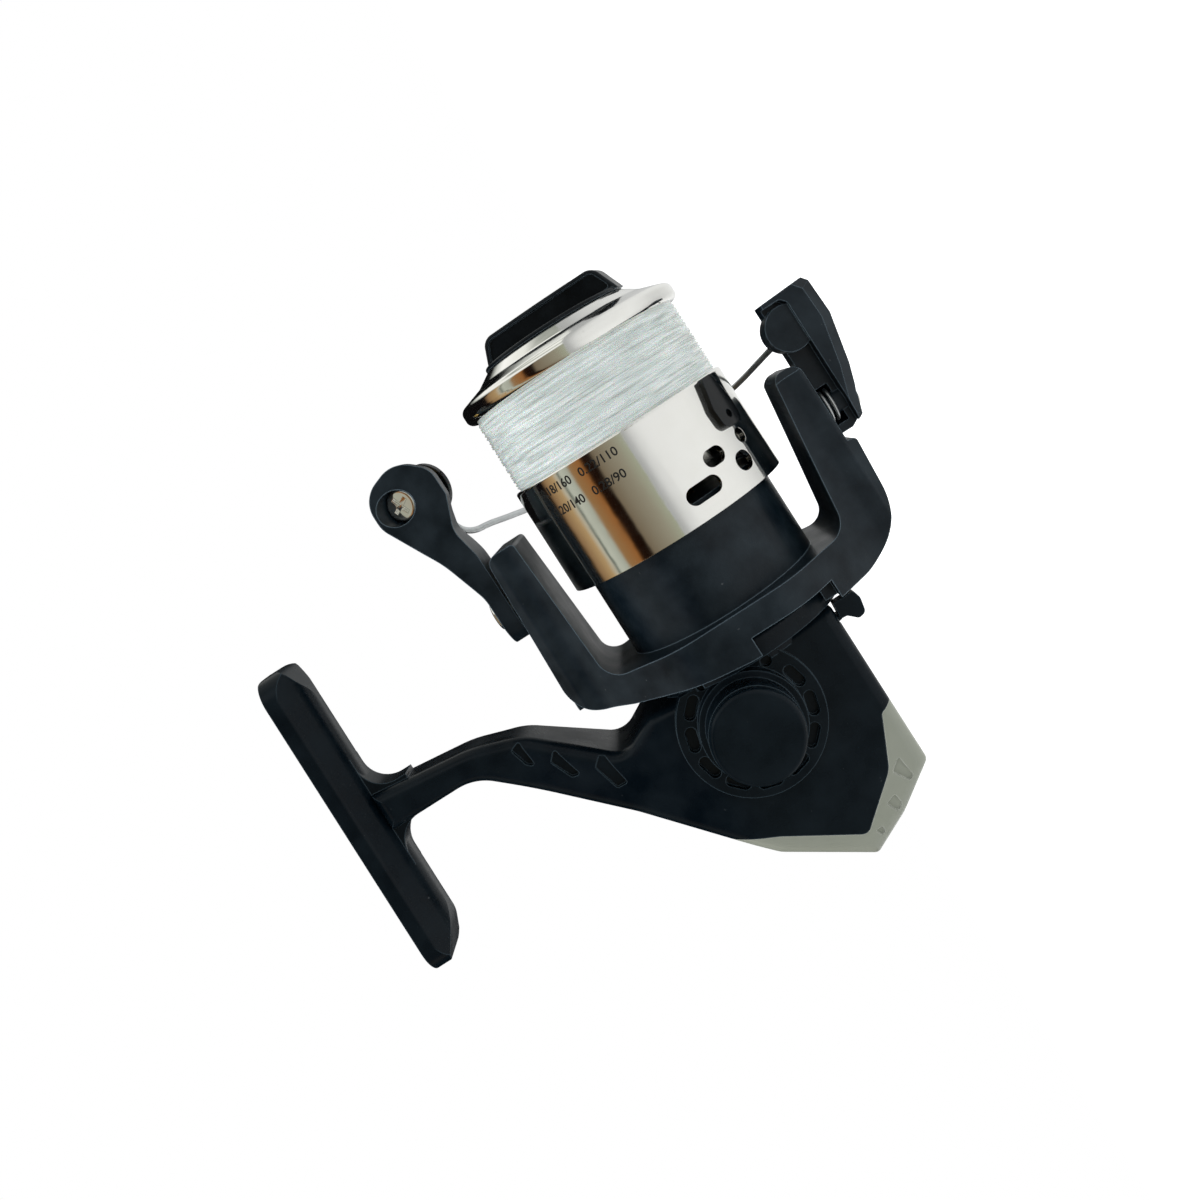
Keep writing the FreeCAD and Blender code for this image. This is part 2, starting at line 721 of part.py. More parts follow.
case_blank = cut("case_blank", case_core, [trim_room])
case_body = fused("case_body", [case_blank, tongue, foot, collar, boss_ring, boss_collar, boss_tower] + stem_roots)
ring_slots = solid("ring_slots", boss_slots())
case_hollow = cut("case_hollow", case_body, [
    cover_room, case_room, gear_room, pinion_room, spur_room, bearing_seat])
case_ribbed = fused("case_ribbed", [case_hollow, gear_stud] + case_posts)
keep("body_housing", cut("body_housing", case_ribbed, [
    ring_slots, bush_bore, cap_bore, lever_slot, lever_bore, pawl_hole, rotor_space, trim_screw_hole]
    + case_holes + stem_slots))

cover_skin = shared("cover_skin", case_core, cover_room)
cover_boss = cylinder("cover_boss", "Y", -s.gear_behind, 9.6, s.gear_above, 7.5, 9.0)
cover_case = cut("cover_case", fused("cover_solid", [cover_skin, cover_boss]),
                 [prism("cover_hollow", "XZ", CAVITY, 3.0, 10.6), gear_room,
                  cylinder("cover_bush_bore", "Y", -s.gear_behind, 8.0, s.gear_above, 5.0, 7.6),
                  cylinder("shank_hole", "Y", -s.gear_behind, 14.0, s.gear_above, 3.5, 6.0)])
cover_posts = [cylinder("cover_post_%d" % k, "Y", x, s.parting, z, 2.4, 6.8)
               for k, (x, z) in enumerate(COVER_SCREWS[:2])]
cover_holes = [cylinder("head_room_%d" % k, "Y", x, SCREW_SEATS[k], z, 2.1, 6.0)
               for k, (x, z) in enumerate(COVER_SCREWS)]
keep("side_cover", cut("side_cover", fused("cover_ribbed", [cover_case] + cover_posts), cover_holes + case_holes))

trim_screw_room = cylinder("trim_screw_room", "Y", -86.0, 10.8, -9.0, 2.1, 4.0)
MARKS = [[(-83.6, -10.1, 0.3), (-87.3, -10.6, 0.4), (-87.9, -9.8, 0.4), (-87.4, -9.3, 0.4), (-85.2, -8.0, 0.3)],
         [(-88.4, -6.4, 0.3), (-90.2, -6.6, 0.3), (-90.9, -5.8, 0.3), (-90.7, -5.2, 0.3), (-89.0, -4.4, 0.3)],
         [(-91.7, -1.9, 0.2), (-92.6, -1.9, 0.2), (-92.9, -1.2, 0.3), (-91.7, -0.4, 0.3)]]
marks = [prism("mark_%d" % k, "XZ", corners, -s.case_half_width - 2.0, -s.case_half_width + 0.3)
         for k, corners in enumerate(MARKS)]
marks += [prism("mark_%d_back" % k, "XZ", corners, s.case_half_width - 0.3, s.case_half_width + 2.0)
          for k, corners in enumerate(MARKS)]
keep("rear_trim", cut("rear_trim", shared("trim_blank", case_core, trim_room),
                      [tongue, trim_screw_room, trim_screw_hole] + marks))

cover_screws = [moved(screw_shape(1.9, 1.2, 0.95, 8.0), Y_WAY, Vector(x, SCREW_SEATS[k] + 1.2, z))
                for k, (x, z) in enumerate(COVER_SCREWS)]
keep("side_cover_screws", solid("side_cover_screws", Part.makeCompound(cover_screws)))
keep("rear_trim_screw", solid("rear_trim_screw", moved(screw_shape(1.9, 1.2, 0.95, 8.5), Y_WAY,
                                                       Vector(-86.0, 12.0, -9.0))))

cap_plate = cylinder("cap_plate", "Y", -s.gear_behind, -s.tower_top - s.cap_height, s.gear_above, s.cap_radius,
                     s.cap_height)
cap_spigot = cylinder("cap_spigot", "Y", -s.gear_behind, -s.tower_top, s.gear_above, 4.2, 3.8)
cap_rounded = softened("cap_rounded", cap_plate, 0.7, lambda edge: edge.BoundBox.YMax < -23.3 and
                       len(edge.Vertexes) == 1)
keep("handle_hole_cap", fused("handle_hole_cap", [cap_rounded, cap_spigot]))

bush_low = cylinder("bush_low", "Y", -s.gear_behind, -15.6, s.gear_above, 5.0, 4.8)
bush_high = cylinder("bush_high", "Y", -s.gear_behind, 10.8, s.gear_above, 5.0, 4.8)
bush_hole = cylinder("bush_hole", "Y", -s.gear_behind, -20.0, s.gear_above, s.axle_radius + s.running_gap, 40.0)
keep("gear_bushes", cut("gear_bushes", fused("bush_pair", [bush_low, bush_high]), [bush_hole]))

bearing = turned("pinion_bearing", [
    (-53.6, s.sleeve_radius + 0.02), (-50.2, s.sleeve_radius + 0.02), (-50.2, 4.0), (-50.5, 4.0), (-50.5, 5.0),
    (-50.2, 5.0), (-50.2, s.bearing_radius), (-53.6, s.bearing_radius), (-53.6, 5.0), (-53.3, 5.0), (-53.3, 4.0),
    (-53.6, 4.0)])
keep("pinion_bearing", bearing)
keep("bearing_retainer", tube("bearing_retainer", -50.2, -49.6, 4.4, s.nose_radius - 0.4))
keep("oscillation_clip", cut("oscillation_clip",
                             cylinder("clip_disc", "Y", -crank_behind, -5.5, 0.0, 2.7, 0.4),
                             [cylinder("clip_hole", "Y", -crank_behind, -6.0, 0.0, 1.0, 2.0)]))

# Anti-reverse lever and pawl

lever_arm = prism("lever_arm", "YZ", [(-8.2, -9.4, 1.4), (-5.0, -9.4, 1.4), (-5.6, -11.6), (-8.2, -15.2, 1.0),
                                      (-10.4, -14.2, 0.8), (-8.6, -11.0)], -60.7, -59.6)
lever_tab = prism("lever_tab", "XZ", [(-60.2, -14.3), (-60.3, -15.4, 0.5), (-61.7, -16.9, 0.8), (-61.4, -18.3, 1.0),
                                      (-58.9, -18.8, 1.5), (-57.45, -18.4, 0.4), (-57.45, -14.5, 0.3)], -11.4, -8.3)
lever_shaft = cylinder("lever_shaft", "X", -60.7, -6.5, -10.2, 1.1, 10.5)
lever_crank = prism("lever_crank", "YZ", [(-7.9, -11.6, 1.2), (-7.9, -8.9, 1.2), (-4.2, -8.5, 0.9), (-4.2, -10.4, 0.9),
                                          (-5.6, -11.6, 0.8)], -52.0, -50.2)
keep("anti_reverse_lever", fused("anti_reverse_lever", [lever_arm, lever_tab, lever_shaft, lever_crank]))
pawl_arm = prism("pawl_arm", "YZ", [(10.8, -8.0), (3.2, -9.5, 0.4), (3.0, -8.3, 0.3), (9.4, -4.4)], -49.0, -47.6)
pawl_eye = cylinder("pawl_eye", "X", -49.0, 10.4, -6.0, 2.3, 1.4)
keep("anti_reverse_pawl", cut("anti_reverse_pawl", fused("pawl_blank", [pawl_arm, pawl_eye]),
                              [cylinder("pawl_bore", "X", -51.0, 10.4, -6.0, 1.0, 5.0)]))
pawl_pin = turned("pawl_screw", [(-55.0, 0.0), (-46.6, 0.0), (-46.6, 1.9), (-47.4, 1.9), (-47.4, 0.95),
                                 (-55.0, 0.95)])
place(pawl_pin, y=10.4, z=-6.0)
keep("pawl_screw", pawl_pin, placed=False)

# Handle axle and drive gear, about the handle's axis

gear_ratio = s.face_gear_teeth / s.pinion_teeth
mesh_reach = root(s.face_gear_radius * s.face_gear_radius - s.gear_above * s.gear_above)
mesh_angle = math.atan2(float(s.gear_above), float(mesh_reach))
mesh_station = float(mesh_reach) - float(s.gear_behind)
pinion_pitch = s.face_gear_radius / (gear_ratio * (mesh_reach / s.face_gear_radius))

gear_phase = math.atan2(-float(s.gear_above), float(mesh_reach)) + math.pi / float(s.face_gear_teeth)
ring_of_teeth = solid("ring_of_teeth", Part.makeCompound(face_teeth(gear_phase)))
axle = turned("axle", [
    (-16.4, 0.0), (16.8, 0.0), (16.8, s.axle_radius), (10.6, s.axle_radius), (10.6, 4.6), (5.5, 4.6),
    (5.5, s.face_gear_outer), (3.5, s.face_gear_outer), (3.5, s.axle_radius), (-8.1, s.axle_radius), (-8.1, 4.2),
    (-10.6, 4.2), (-10.6, s.axle_radius), (-16.4, s.axle_radius)])
aim(axle, "Y")
hex_bore = doc.addObject("Part::Prism", "hex_bore")
hex_bore.Polygon = 6
hex_bore.Circumradius = 2.2
hex_bore.Height = 40
hex_bore.Placement = FreeCAD.Placement(Vector(0, -12, 0), FreeCAD.Rotation(X_WAY, -90))
drive_gear = cut("drive_gear", fused("drive_blank", [axle, ring_of_teeth]), [hex_bore])
place(drive_gear, x=-s.gear_behind, z=s.gear_above)
keep("drive_gear", drive_gear, placed=False)

line_of_centres = math.atan2(-float(s.gear_above), float(s.gear_behind - crank_behind))
spur_high = -float(s.spur_front)
spur_low = spur_high - float(s.spur_width)
module, drive_teeth, driven_teeth = float(s.spur_module), float(s.spur_drive_teeth), float(s.spur_driven_teeth)
drive_spur = solid("oscillation_pinion", spur_gear(drive_teeth, module, spur_low, spur_high,
                                                   float(s.axle_radius), line_of_centres))
place(drive_spur, x=-s.gear_behind, z=s.gear_above)
keep("oscillation_pinion", drive_spur, placed=False)

spur_blank = solid("spur_blank", spur_gear(driven_teeth, module, spur_low, spur_high, 1.85,
                                           line_of_centres + math.pi + math.pi / driven_teeth))
crank_angle = math.acos(float(s.crank_ahead) / float(s.crank_radius))
crank_x = float(s.crank_radius) * math.cos(crank_angle)
crank_z = float(s.crank_radius) * math.sin(crank_angle)
crank_pin = cylinder("crank_pin", "Y", crank_x, -5.9, crank_z, s.crank_pin_radius, 1.0)
crank_gear = fused("oscillation_gear", [spur_blank, crank_pin])
place(crank_gear, x=-crank_behind)
keep("oscillation_gear", crank_gear, placed=False)

hex_shank = doc.addObject("Part::Prism", "hex_shank")
hex_shank.Polygon = 6
hex_shank.Circumradius = 2.2
hex_shank.Height = 29.0
hex_shank.Placement = FreeCAD.Placement(Vector(0, -11.8, 0), FreeCAD.Rotation(X_WAY, -90))
shank = cylinder("shank", "Y", 0.0, 17.1, 0.0, s.shank_radius, s.handle_out - 17.1 + s.arm_thickness)
handle_shaft = fused("handle_shaft", [hex_shank, shank])
place(handle_shaft, x=-s.gear_behind, z=s.gear_above)
keep("handle_shaft", handle_shaft, placed=False)

arm_bar = prism("arm_bar", "XZ", [
    (-s.arm_root_radius, -s.arm_root_radius, s.arm_root_radius * 0.9),
    (s.arm_length + s.arm_end_radius, -s.arm_end_radius, s.arm_end_radius * 0.88),
    (s.arm_length + s.arm_end_radius, s.arm_end_radius, s.arm_end_radius * 0.88),
    (-s.arm_root_radius, s.arm_root_radius, s.arm_root_radius * 0.9)],
    s.handle_out, s.handle_out + s.arm_thickness)
arm_soft = softened("arm_soft", arm_bar, 0.8, lambda edge: edge.BoundBox.YMax - edge.BoundBox.YMin < 0.01)
handle_arm = cut("handle_arm", arm_soft, [cylinder("arm_hole", "Y", 0.0, 40.0, 0.0, s.shank_radius, 20.0)])
place(handle_arm, x=-s.gear_behind, z=s.gear_above)
keep("handle_arm", handle_arm, placed=False)
arm_top = s.handle_out + s.arm_thickness
arm_nut = doc.addObject("Part::Prism", "arm_nut")
arm_nut.Polygon = 6
arm_nut.Circumradius = 4.4
arm_nut.Height = 2.4
arm_nut.Placement = FreeCAD.Placement(Vector(), FreeCAD.Rotation(X_WAY, -90))
place(arm_nut, x=-s.gear_behind, y=arm_top, z=s.gear_above)
keep("arm_nut", arm_nut, placed=False)
spindle = turned("knob_spindle", [
    (0.0, 0.0), (21.0, 0.0), (21.0, 2.6), (19.8, 2.6), (19.8, s.spindle_radius), (1.0, s.spindle_radius), (1.0, 2.9),
    (0.0, 2.9)])
aim(spindle, "Y")
place(spindle, x=s.arm_length - s.gear_behind, y=arm_top, z=s.gear_above)
keep("knob_spindle", spindle, placed=False)
knob_bore = s.spindle_radius + s.running_gap
grip = turned("handle_knob", [
    (1.2, knob_bore), (19.7, knob_bore), (19.7, 3.0), (s.grip_length + 1.2, 3.0), (s.grip_length + 1.2, 5.6, 1.2),
    (13.0, s.grip_radius + 0.5, 16), (7.0, 4.9, 9), (1.2, 5.8, 1.0)])
aim(grip, "Y")
place(grip, x=s.arm_length - s.gear_behind, y=arm_top, z=s.gear_above)
keep("handle_knob", grip, placed=False)
end_cap = turned("knob_end_cap", [
    (s.grip_length - 1.4, 0.0), (s.grip_length + 1.9, 0.0), (s.grip_length + 1.9, 4.2, 0.5),
    (s.grip_length + 1.2, 4.2), (s.grip_length + 1.2, 3.0), (s.grip_length - 1.4, 3.0)])
aim(end_cap, "Y")
place(end_cap, x=s.arm_length - s.gear_behind, y=arm_top, z=s.gear_above)
keep("knob_end_cap", end_cap, placed=False)

# Rotor and what turns with it

rotor_side = prism("rotor_side", "XZ", [
    (-s.arm_tip, s.foot_arm_inner + 1.6, 0.8), (-s.arm_tip, s.foot_arm_outer - 1.0, 2.0),
    (-s.rotor_rear + 4.7, s.foot_arm_outer, 6.5), (-s.rotor_rear + 2.5, 21.2, 4), (-s.rotor_rear, 1.0, 20),
    (-s.rotor_rear, -s.far_arm_outer + 1.4, 11), (-s.pivot_behind - 6.2, -s.far_arm_outer, 0.8),
    (-s.pivot_behind - 5.8, -31.2), (-s.arm_tip, -31.1, 2.0), (-s.arm_tip, -s.far_arm_inner - 3.4, 2.0),
    (-s.rotor_floor, -s.far_arm_inner, 3.5), (-s.rotor_floor, s.foot_arm_inner, 3.5)], -25.0, 25.0)
rotor_section = prism("rotor_section", "YZ", [
    (4.6, 34.3), (-4.6, 34.3), (-s.arm_half_width, 28.7, 1.5), (-s.arm_half_width, 25.5, 6),
    (-s.rotor_half_depth, 10.5, 11), (-s.rotor_half_depth, -10.5, 11), (-s.arm_half_width, -25.5, 6),
    (-s.arm_half_width, -30.6, 0.6), (-5.2, -34.8), (5.2, -34.8), (s.arm_half_width, -30.6, 0.6),
    (s.arm_half_width, -25.5, 6), (s.rotor_half_depth, -10.5, 11), (s.rotor_half_depth, 10.5, 11),
    (s.arm_half_width, 25.5, 6), (s.arm_half_width, 28.7, 1.5)], -60.0, -20.0)
rotor_arms = shared("rotor_arms", rotor_side, rotor_section)
rotor_cup = cylinder("rotor_cup", "X", -s.rotor_tread, 0.0, 0.0, s.rotor_radius, s.rotor_tread - s.rotor_front)
rotor_whole = fused("rotor_whole", [rotor_arms, rotor_cup])
rotor_bore = turned("rotor_bore", [
    (-58.0, 0.0), (-34.0, 0.0), (-34.0, s.rotor_radius - s.rotor_wall, 1.5), (-52.7, s.rotor_radius - s.rotor_wall),
    (-52.7, 18.2), (-58.0, 18.2)])
nut_hole = cylinder("nut_hole", "X", -35.0, 0.0, 0.0, s.sleeve_radius, 6.0)
rim_gap = block("rim_gap", (-s.rotor_tread - 4.9, -24.0, -16.0), (-s.rotor_tread, -12.0, -0.5))
tip_corners = [prism("tip_corner_%d" % k, "XY", [(-s.arm_tip + 0.4, way * 6.6), (-s.arm_tip - 1.8, way * 9.0),
                                                 (-s.arm_tip + 0.4, way * 9.0)], -34.0, -25.0)
               for k, way in enumerate((-1, 1))]
trip_room = block("trip_room", (-50.2, -4.6, 26.6), (-37.2, 4.6, 40.0))
cover_seat = block("cover_seat", (-51.4, -5.8, 29.4), (-36.0, 5.8, 40.0))
pivot_holes = [cylinder("pivot_hole_top", "Z", -s.pivot_behind, 0.0, 26.0, 1.3, 10.0),
               cylinder("pivot_hole_low", "Z", -s.pivot_behind, 0.0, -36.0, 1.3, 10.0)]
keep("rotor", cut("rotor", rotor_whole, [rotor_bore, nut_hole, rim_gap, trip_room, cover_seat] + pivot_holes +
                  tip_corners))

pinion_teeth = solid("pinion_teeth", Part.makeCompound(pinion_threads()))
tooth_low = -s.gear_behind + 5.8
sleeve = turned("sleeve", [
    (tooth_low, s.shaft_radius + 0.1), (-28.2, s.shaft_radius + 0.1), (-28.2, s.sleeve_radius),
    (tooth_low + s.pinion_length, s.sleeve_radius), (tooth_low + s.pinion_length, s.pinion_root),
    (tooth_low, s.pinion_root)])
keep("pinion_gear", fused("pinion_gear", [sleeve, pinion_teeth]))


def ratchet_shape(low, high, radius, depth, count, bore):
    """A saw-toothed wheel about X."""
    points = []
    for k in range(count):
        angle = 2 * math.pi * k / count
        points.append(Vector(low, radius * math.cos(angle), radius * math.sin(angle)))
        angle += 0.08
        points.append(Vector(low, (radius - depth) * math.cos(angle), (radius - depth) * math.sin(angle)))
    wheel = Part.Face(Part.makePolygon(points + points[:1])).extrude(Vector(high - low, 0, 0))
    return wheel.cut(Part.makeCylinder(bore, high - low, Vector(low, 0, 0), X_WAY))


keep("ratchet_wheel", solid("ratchet_wheel", ratchet_shape(
    -49.0, -49.0 + float(s.ratchet_width), float(s.ratchet_radius), 1.6, int(float(s.ratchet_teeth)),
    float(s.sleeve_radius))))
rotor_nut = doc.addObject("Part::Prism", "nut_hexagon")
rotor_nut.Polygon = 6
rotor_nut.Circumradius = 5.4
rotor_nut.Height = 2.5
rotor_nut.Placement = FreeCAD.Placement(Vector(-float(s.rotor_front), 0, 0), FreeCAD.Rotation(Y_WAY, 90))
keep("rotor_nut", cut("rotor_nut", rotor_nut, [cylinder("nut_bore", "X", -32.0, 0.0, 0.0, s.sleeve_radius, 6.0)]))

cover_plate = block("cover_plate", (-51.3, -5.7, 29.4), (-36.1, 5.7, 30.4))
cover_soft = softened("cover_soft", cover_plate, 1.0,
                      lambda edge: edge.BoundBox.ZMax - edge.BoundBox.ZMin > 0.9)
trip_pin = cylinder("trip_pin", "Z", -44.0, 0.0, 26.7, 1.0, 3.0)
cover_dimples = [cylinder("cover_dimple_%d" % k, "Z", x, 0.0, 29.9, 1.2, 2.0) for k, x in enumerate((-37.6, -49.8))]
cover_dimples += [cylinder("cover_drill_%d" % k, "Z", x, 0.0, 29.0, 0.55, 2.0) for k, x in enumerate((-37.6, -49.8))]
keep("arm_cover", cut("arm_cover", fused("cover_and_pin", [cover_soft, trip_pin]), cover_dimples))
arm_screws = [moved(screw_shape(1.1, 0.5, 0.55, 0.4), Z_WAY, Vector(x, 0.0, 30.4)) for x in (-37.6, -49.8)]
keep("arm_cover_screws", solid("arm_cover_screws", Part.makeCompound(arm_screws)))
keep("trip_lever", cut("trip_lever", prism("trip_plate", "XY", [
    (-46.4, -2.6, 2.2), (-46.4, 2.6, 2.2), (-43.0, 2.6, 1.5), (-38.4, 1.5, 0.6), (-38.4, -0.6, 0.6),
    (-43.0, -2.6, 1.5)], 27.2, 29.0), [cylinder("trip_bore", "Z", -44.0, 0.0, 25.0, 1.06, 6.0)]))

# Bail: the two arms, the wire between them and the line roller

pivot_top = moved(screw_shape(2.6, 0.9, 1.28, 6.4), Z_WAY, Vector(-float(s.pivot_behind), 0, 34.7))
pivot_low = moved(screw_shape(2.6, 0.9, 1.28, 6.4), Z_WAY * -1, Vector(-float(s.pivot_behind), 0, -37.8))
keep("bail_pivot_screws", solid("bail_pivot_screws", Part.makeCompound([pivot_top, pivot_low])))

bail_arm_side = prism("bail_arm_side", "XZ", [
    (-36.8, 30.75), (-20.1, 30.8, 8), (-14.5, 31.9, 5), (-8.6, 29.6, 1.5), (-3.5, 29.7, 4.0), (0.7, 34.5, 5.0),
    (-2.1, 41.9, 5.0), (-8.0, 41.9, 5.0), (-18.5, 36.4, 20), (-27.0, 33.7, 8), (-36.8, 33.7)], -10.0, 10.0)
bail_arm_plan = prism("bail_arm_plan", "XY", [
    (-s.pivot_behind - s.pivot_disc_radius, -s.pivot_disc_radius, s.pivot_disc_radius * 0.92), (-24.5, -5.8, 12),
    (-15.0, -6.5, 12), (1.0, -6.5, 1.0), (1.0, -3.3, 0.8), (-11.0, -3.3, 2.5), (-17.5, 3.0, 5), (-25.0, 5.3, 8),
    (-s.pivot_behind - s.pivot_disc_radius, s.pivot_disc_radius, s.pivot_disc_radius * 0.92)], 25.0, 45.0)
bail_arm_blank = shared("bail_arm_blank", bail_arm_side, bail_arm_plan)
arm_pivot_hole = cylinder("arm_pivot_hole", "Z", -s.pivot_behind, 0.0, 28.0, 1.34, 10.0)
arm_head_room = cylinder("arm_head_room", "Z", -s.pivot_behind, 0.0, 33.75, 2.9, 4.0)

tilt = FreeCAD.Rotation(X_WAY, -float(s.roller_tilt))
roller_way = tilt.multVec(Y_WAY)
roller_middle = Vector(-float(s.roller_behind), 0, float(s.roller_height))
half_roller = float(s.roller_length) / 2


def roller_part(profile):
    """A piece turned about the roller's axis from (station, radius) corners."""
    points = [Vector(station, radius, 0) for station, radius in profile]
    turning = Part.Face(Part.makePolygon(points + points[:1])).revolve(Vector(), X_WAY, 360)
    return moved(turning, roller_way, roller_middle)


roller_bore = 1.7
keep("line_roller", solid("line_roller", roller_part([
    (-half_roller + 0.05, roller_bore), (half_roller - 0.05, roller_bore), (half_roller - 0.05, 3.7),
    (half_roller - 0.8, 3.7), (0.9, 2.9), (0.0, 2.75), (-0.9, 2.9), (-half_roller + 0.8, 3.7),
    (-half_roller + 0.05, 3.7)])))
keep("roller_bush", solid("roller_bush", roller_part([
    (-half_roller, 1.1), (half_roller, 1.1), (half_roller, roller_bore - 0.05), (-half_roller, roller_bore - 0.05)])))
keep("roller_screw", solid("roller_screw", moved(
    screw_shape(2.9, 1.3, 1.1, 7.6), roller_way * -1, roller_middle - roller_way * 5.6)))
head_boss = roller_part([(-half_roller - 1.8, 0.0), (-half_roller, 0.0), (-half_roller, 4.8),
                         (-half_roller - 1.8, 4.8)])
screw_path = roller_part([(-12.0, 0.0), (6.0, 0.0), (6.0, 1.1), (-half_roller - 1.8, 1.1), (-half_roller - 1.8, 3.0),
                          (-12.0, 3.0)])
roller_room = roller_part([(-half_roller, 0.0), (10.0, 0.0), (10.0, 5.2), (-half_roller, 5.2)])
keep("bail_arm", cut("bail_arm", fused("bail_arm_solid", [
    cut("bail_arm_cut", bail_arm_blank, [solid("roller_room", roller_room)]), solid("head_boss", head_boss)]),
    [arm_pivot_hole, arm_head_room, solid("screw_path", screw_path)]))

cone_tip = roller_part([(half_roller, 0.0), (half_roller, 4.9), (half_roller + 0.9, 4.9), (half_roller + 3.4, 2.0),
                        (half_roller + 4.6, 1.0), (half_roller + 4.6, 0.0)])
screw_end = roller_part([(half_roller - 1.0, 0.0), (half_roller + 1.0, 0.0), (half_roller + 1.0, 1.1),
                         (half_roller - 1.0, 1.1)])

lean = Vector(-0.17, 0.9854, 0)
CROWN_TILT = 0.033
wire_base = Vector(-14.4, 0, 0)
crown = float(s.bail_crown)
reach = float(s.bail_reach)


def on_crown(degrees):
    """A point on the bail's crown, counted from its far end towards the foot side."""
    angle = math.radians(degrees)
    rise = crown * math.sin(angle)
    return wire_base + lean * (reach - crown + crown * math.cos(angle)) + Vector(CROWN_TILT * rise, 0, rise)


cone_end = roller_middle + roller_way * (half_roller + 3.9)
wire_points = [cone_end, Vector(-11.0, 9.0, 34.2), Vector(-15.8, 13.8, 33.3), Vector(-17.4, 20.8, 28.9)]
wire_points += [on_crown(degrees) for degrees in (60, 45, 30, 15, 0, -15, -30, -45, -60)]
wire_points += [Vector(-18.4, 18.6, -30.1), Vector(-17.2, 9.6, -32.6), Vector(-16.2, 4.85, -33.7)]


def smooth_path(points, first_way, last_way):
    """Tangent arcs through points, leaving and arriving along given directions."""
    ways = [first_way]
    for before, after in zip(points, points[2:]):
        ways.append((after - before).normalize())
    ways.append(last_way)
    edges = []
    for k in range(len(points) - 1):
        edges += biarc(points[k], ways[k], points[k + 1], ways[k + 1])
    return edges


wire_edges = smooth_path(wire_points, Vector(-0.62, 0.76, 0.2).normalize(), Vector(0.1, -0.98, -0.12).normalize())
wire_body = swept(wire_edges, float(s.bail_wire_radius))
keep("bail_wire", solid("bail_wire", wire_body.cut(cone_tip)))
keep("wire_cone", solid("wire_cone", cone_tip.cut(screw_end)))

holder_side = prism("holder_side", "XZ", [
    (-36.2, -31.45), (-36.2, -34.2), (-34.9, -36.6), (-26.4, -39.3), (-17.4, -41.15), (-10.9, -40.9), (-9.8, -40.0),
    (-10.3, -31.45)], -s.holder_half_width, s.holder_half_width)
holder_bevelled = softened("holder_bevelled", holder_side, 1.9,
                           lambda edge: edge.BoundBox.YMax - edge.BoundBox.YMin < 1e-3 and edge.BoundBox.ZMax < -34.0,
                           chamfer=True)
holder_plan = prism("holder_plan", "XY", [
    (-s.pivot_behind - 5.2, -s.holder_half_width, 4.6), (-9.0, -s.holder_half_width, 1.2),
    (-9.0, s.holder_half_width, 1.2), (-s.pivot_behind - 5.2, s.holder_half_width, 4.6)], -45.0, -25.0)
pivot_boss = cylinder("pivot_boss", "Z", -s.pivot_behind, 0.0, -40.0, 2.0, 12.0)
wire_boss = cylinder("wire_boss", "Y", -16.0, -3.7, -33.7, 4.1, 7.7)
holder_blank = fused("holder_blank", [shared("holder_plate", holder_bevelled, holder_plan), wire_boss])
recess_side = prism("recess_side", "XZ", [
    (-40.0, -29.0), (-40.0, -35.6), (-12.1, -35.6, 0.8), (-11.1, -34.6, 0.8), (-11.1, -29.0)], -10.0, -1.0)
holder_holes = [cut("holder_recess", recess_side, [pivot_boss, wire_boss]),
                cut("spring_room", cylinder("spring_space", "Z", -s.pivot_behind, 0.0, -34.4, 3.7, 5.0), [pivot_boss]),
                cylinder("holder_pivot_hole", "Z", -s.pivot_behind, 0.0, -40.0, 1.34, 10.0),
                cylinder("holder_head_room", "Z", -s.pivot_behind, 0.0, -40.0, 2.9, 3.1)]
keep("bail_holder", cut("bail_holder", holder_blank, holder_holes))

coil_edges = helix(2.75, 1.02, 2, 0.0, 0.0)[0]
bail_spring = moved(swept(coil_edges, 0.3), Z_WAY, Vector(-float(s.pivot_behind), 0, -31.75))
keep("bail_spring", solid("bail_spring", bail_spring))

# Main shaft and spool

shaft = rod("shaft_rod", s.shaft_front - s.shaft_length, s.shaft_front, s.shaft_radius)
shaft_soft = softened("shaft_soft", shaft, 0.3, lambda edge: edge.BoundBox.XMin > 8.1 and len(edge.Vertexes) == 1)
keep("main_shaft", shaft_soft)
slider_station = crank_x - float(crank_behind)
slider_block = block("slider_block", (slider_station - 2.4, -4.6, -6.2), (slider_station + 2.4, 1.9, 6.2))
slider_soft = softened("slider_soft", slider_block, 1.6, lambda edge: edge.BoundBox.YMax - edge.BoundBox.YMin > 6,
                       chamfer=True)
slider_slot = prism("slider_slot", "XZ", [
    (slider_station - 1.1, -5.0, 1.0), (slider_station + 1.1, -5.0, 1.0), (slider_station + 1.1, 5.0, 1.0),
    (slider_station - 1.1, 5.0, 1.0)], -6.0, -2.2)
slider_bore = cylinder("slider_bore", "X", -90.0, 0.0, 0.0, s.shaft_radius, 30.0)
slider_thread = cylinder("slider_thread", "Z", slider_station, -0.2, 2.2, 0.8, 6.0)
keep("slider", cut("slider", slider_soft, [slider_slot, slider_bore, slider_thread]))
keep("slider_screw", solid("slider_screw", moved(screw_shape(1.5, 0.9, 0.8, 3.4), Z_WAY,
                                                 Vector(slider_station, -0.2, 7.1))))
keep("spool_seat", turned("spool_seat", [(-20.2, s.shaft_radius), (-17.1, s.shaft_radius), (-17.1, 3.4), (-17.7, 3.4),
                                         (-17.7, 2.6), (-20.2, 2.6)]))
keep("click_wheel", solid("click_wheel", ratchet_shape(-19.4, -18.2, 5.4, 0.9, 20, 2.6)))

